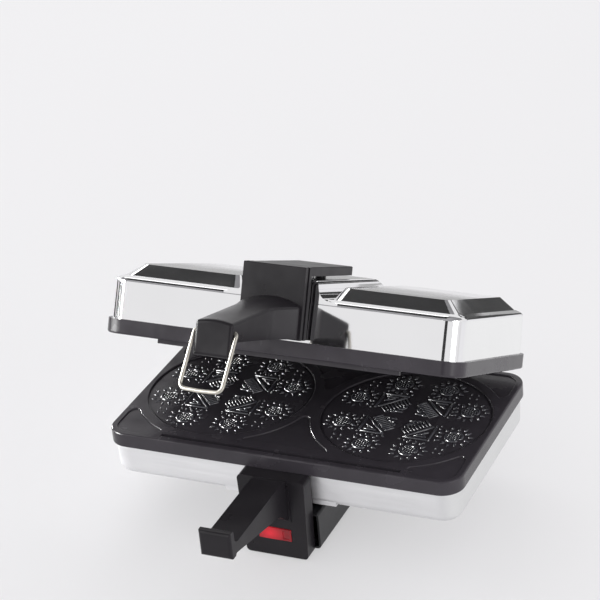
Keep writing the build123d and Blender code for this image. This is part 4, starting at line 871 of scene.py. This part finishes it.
class KRUMKAKE_OT_stage(bpy.types.Operator):
    """Set up the plain floor, the soft light and the camera."""

    bl_idname = "krumkake.stage"
    bl_label = "Stage"
    bl_options = {"REGISTER", "UNDO"}

    def execute(self, context):
        settings = context.scene.krumkake_stage
        scene = context.scene
        scene.view_settings.view_transform = "Standard"
        self.floor(settings)
        self.room(settings)
        self.flags()
        self.lamps(settings)
        self.camera(settings)
        return {"FINISHED"}

    def floor(self, settings):
        """Plain pale floor."""
        deselect()
        bpy.ops.mesh.primitive_plane_add(size=settings.floor_size, location=(0, 0, 0))
        floor = bpy.context.active_object
        floor.name = "floor"
        finish = Finish("floor_paper")
        colour = tuple(settings.floor_color)
        broad = finish.noise(1.2)
        finish.tint(broad, shaded(colour, 0.99), shaded(colour, 1.01))
        finish.roughness(broad, 0.85, 0.95)
        finish.set(Specular_IOR_Level=0.1)
        self.lift_floor(finish, settings)
        floor.data.materials.append(finish.material)

    def lift_floor(self, finish, settings):
        """Camera and metal see the floor partly lit by itself, so its shadow is faint."""
        seen = self.seen_ray(finish.tree)
        paper = finish.shader.outputs["BSDF"]
        glow = finish.node("ShaderNodeEmission", Strength=settings.floor_glow)
        glow.inputs["Color"].default_value = PAPER_WHITE
        share = finish.node("ShaderNodeMath", operation="MULTIPLY")
        finish.link(seen, share.inputs[0])
        share.inputs[1].default_value = settings.floor_share
        mix = finish.node("ShaderNodeMixShader")
        finish.link(share.outputs["Value"], mix.inputs["Fac"])
        finish.link(paper, mix.inputs[1])
        finish.link(glow.outputs["Emission"], mix.inputs[2])
        finish.link(mix.outputs["Shader"], finish.tree.nodes["Material Output"].inputs["Surface"])

    def seen_ray(self, tree):
        """1 for a ray from the camera or off a glossy or clear surface, else 0."""
        path = tree.nodes.new("ShaderNodeLightPath")
        result = path.outputs["Is Camera Ray"]
        for ray in ("Is Glossy Ray", "Is Transmission Ray"):
            either = tree.nodes.new("ShaderNodeMath")
            either.operation = "MAXIMUM"
            tree.links.new(result, either.inputs[0])
            tree.links.new(path.outputs[ray], either.inputs[1])
            result = either.outputs["Value"]
        return result

    def room(self, settings):
        """Plain white room, a little brighter to the camera and the metal than as a light."""
        world = bpy.data.worlds.new("room")
        world.use_nodes = True
        tree = world.node_tree
        background = tree.nodes["Background"]
        background.inputs["Color"].default_value = PAPER_WHITE
        level = tree.nodes.new("ShaderNodeMapRange")
        level.inputs["To Min"].default_value = settings.room_strength
        level.inputs["To Max"].default_value = settings.backdrop_strength
        tree.links.new(self.seen_ray(tree), level.inputs["Value"])
        tree.links.new(level.outputs["Result"], background.inputs["Strength"])
        bpy.context.scene.world = world

    def flags(self):
        """Cards that only the glossy surfaces see, as a studio hangs round bright metal."""
        cloths = {name: self.cloth(name, *values) for name, values in CLOTHS.items()}
        for name, cloth, place, size, turn in CARDS:
            deselect()
            bpy.ops.mesh.primitive_plane_add(size=1, location=place, rotation=turn)
            card = bpy.context.active_object
            card.scale = (*size, 1)
            card.name = name
            card.data.materials.append(cloths[cloth])
            card.visible_camera = False
            card.visible_diffuse = False
            card.visible_transmission = False
            card.visible_volume_scatter = False
            card.visible_shadow = False

    def cloth(self, name, level, glow, scale, contrast):
        """Matt cloth of one grey, woven or cloudy; a glowing one stands for a lit white card."""
        finish = Finish(name)
        weave = finish.noise(scale)
        finish.tint(weave, (level * (1 - contrast),) * 3, (level * (1 + contrast),) * 3)
        finish.roughness(weave, 0.9, 1.0)
        finish.set(Emission_Color=(1.0, 1.0, 1.0), Emission_Strength=glow)
        return finish.material

    def lamps(self, settings):
        """Softboxes, each turned to the iron."""
        for name, place, power, width, height, on_matt in SOFTBOXES:
            lamp = bpy.data.lights.new(name, "AREA")
            lamp.shape = "RECTANGLE"
            lamp.size = width
            lamp.size_y = height
            lamp.energy = getattr(settings, power)
            holder = bpy.data.objects.new(name, lamp)
            holder.location = place
            holder.visible_diffuse = on_matt
            aim = Vector(LAMP_AIM) - Vector(place)
            holder.rotation_euler = aim.to_track_quat("-Z", "Y").to_euler()
            bpy.context.scene.collection.objects.link(holder)

    def camera(self, settings):
        """Camera at the photograph's viewing angle."""
        lens = bpy.data.cameras.new("camera")
        lens.lens = settings.lens
        lens.sensor_width = SENSOR_WIDTH
        lens.shift_x, lens.shift_y = CAMERA_SHIFT
        lens.clip_end = SEEN_TO
        camera = bpy.data.objects.new("camera", lens)
        ahead = Vector(CAMERA_AHEAD).normalized()
        right = Vector(CAMERA_RIGHT)
        right = (right - ahead * right.dot(ahead)).normalized()
        up = right.cross(ahead)
        turn = Matrix((right, up, -ahead)).transposed()
        camera.matrix_world = Matrix.Translation(CAMERA_PLACE) @ turn.to_4x4()
        bpy.context.scene.collection.objects.link(camera)
        bpy.context.scene.camera = camera


class KRUMKAKE_PT_panel(bpy.types.Panel):
    """Lists the settings and the steps that dress the iron."""

    bl_idname = "KRUMKAKE_PT_panel"
    bl_label = "Krumkake Iron"
    bl_space_type = "VIEW_3D"
    bl_region_type = "UI"
    bl_category = "Krumkake Iron"

    def draw(self, context):
        """Draw the settings, then the steps."""
        for name in SETTINGS.values():
            settings = getattr(context.scene, name)
            box = self.layout.box()
            for value in settings.__annotations__:
                box.prop(settings, value)
        for step in STEPS:
            self.layout.operator(step.bl_idname)


STEPS = (KRUMKAKE_OT_relief, KRUMKAKE_OT_hinge_lead, KRUMKAKE_OT_finishes, KRUMKAKE_OT_stage)
SETTINGS = {                # settings, and the scene's property that holds them
    KrumkakeReliefSettings: "krumkake_relief",
    KrumkakeCableSettings: "krumkake_cable",
    KrumkakeFinishSettings: "krumkake_finish",
    KrumkakeStageSettings: "krumkake_stage",
}
CLASSES = (*SETTINGS, *STEPS, KRUMKAKE_PT_panel)


def register():
    """Register the classes and give the scene its settings."""
    for kind in CLASSES:
        bpy.utils.register_class(kind)
    for kind, name in SETTINGS.items():
        setattr(bpy.types.Scene, name, bpy.props.PointerProperty(type=kind))


def unregister():
    """Undo register."""
    for name in SETTINGS.values():
        delattr(bpy.types.Scene, name)
    for kind in reversed(CLASSES):
        bpy.utils.unregister_class(kind)


def main():
    """Dress the iron and light it."""
    register()
    bpy.ops.krumkake.relief()
    bpy.ops.krumkake.hinge_lead()
    bpy.ops.krumkake.finishes()
    bpy.ops.krumkake.stage()


if __name__ == "__main__":
    main()
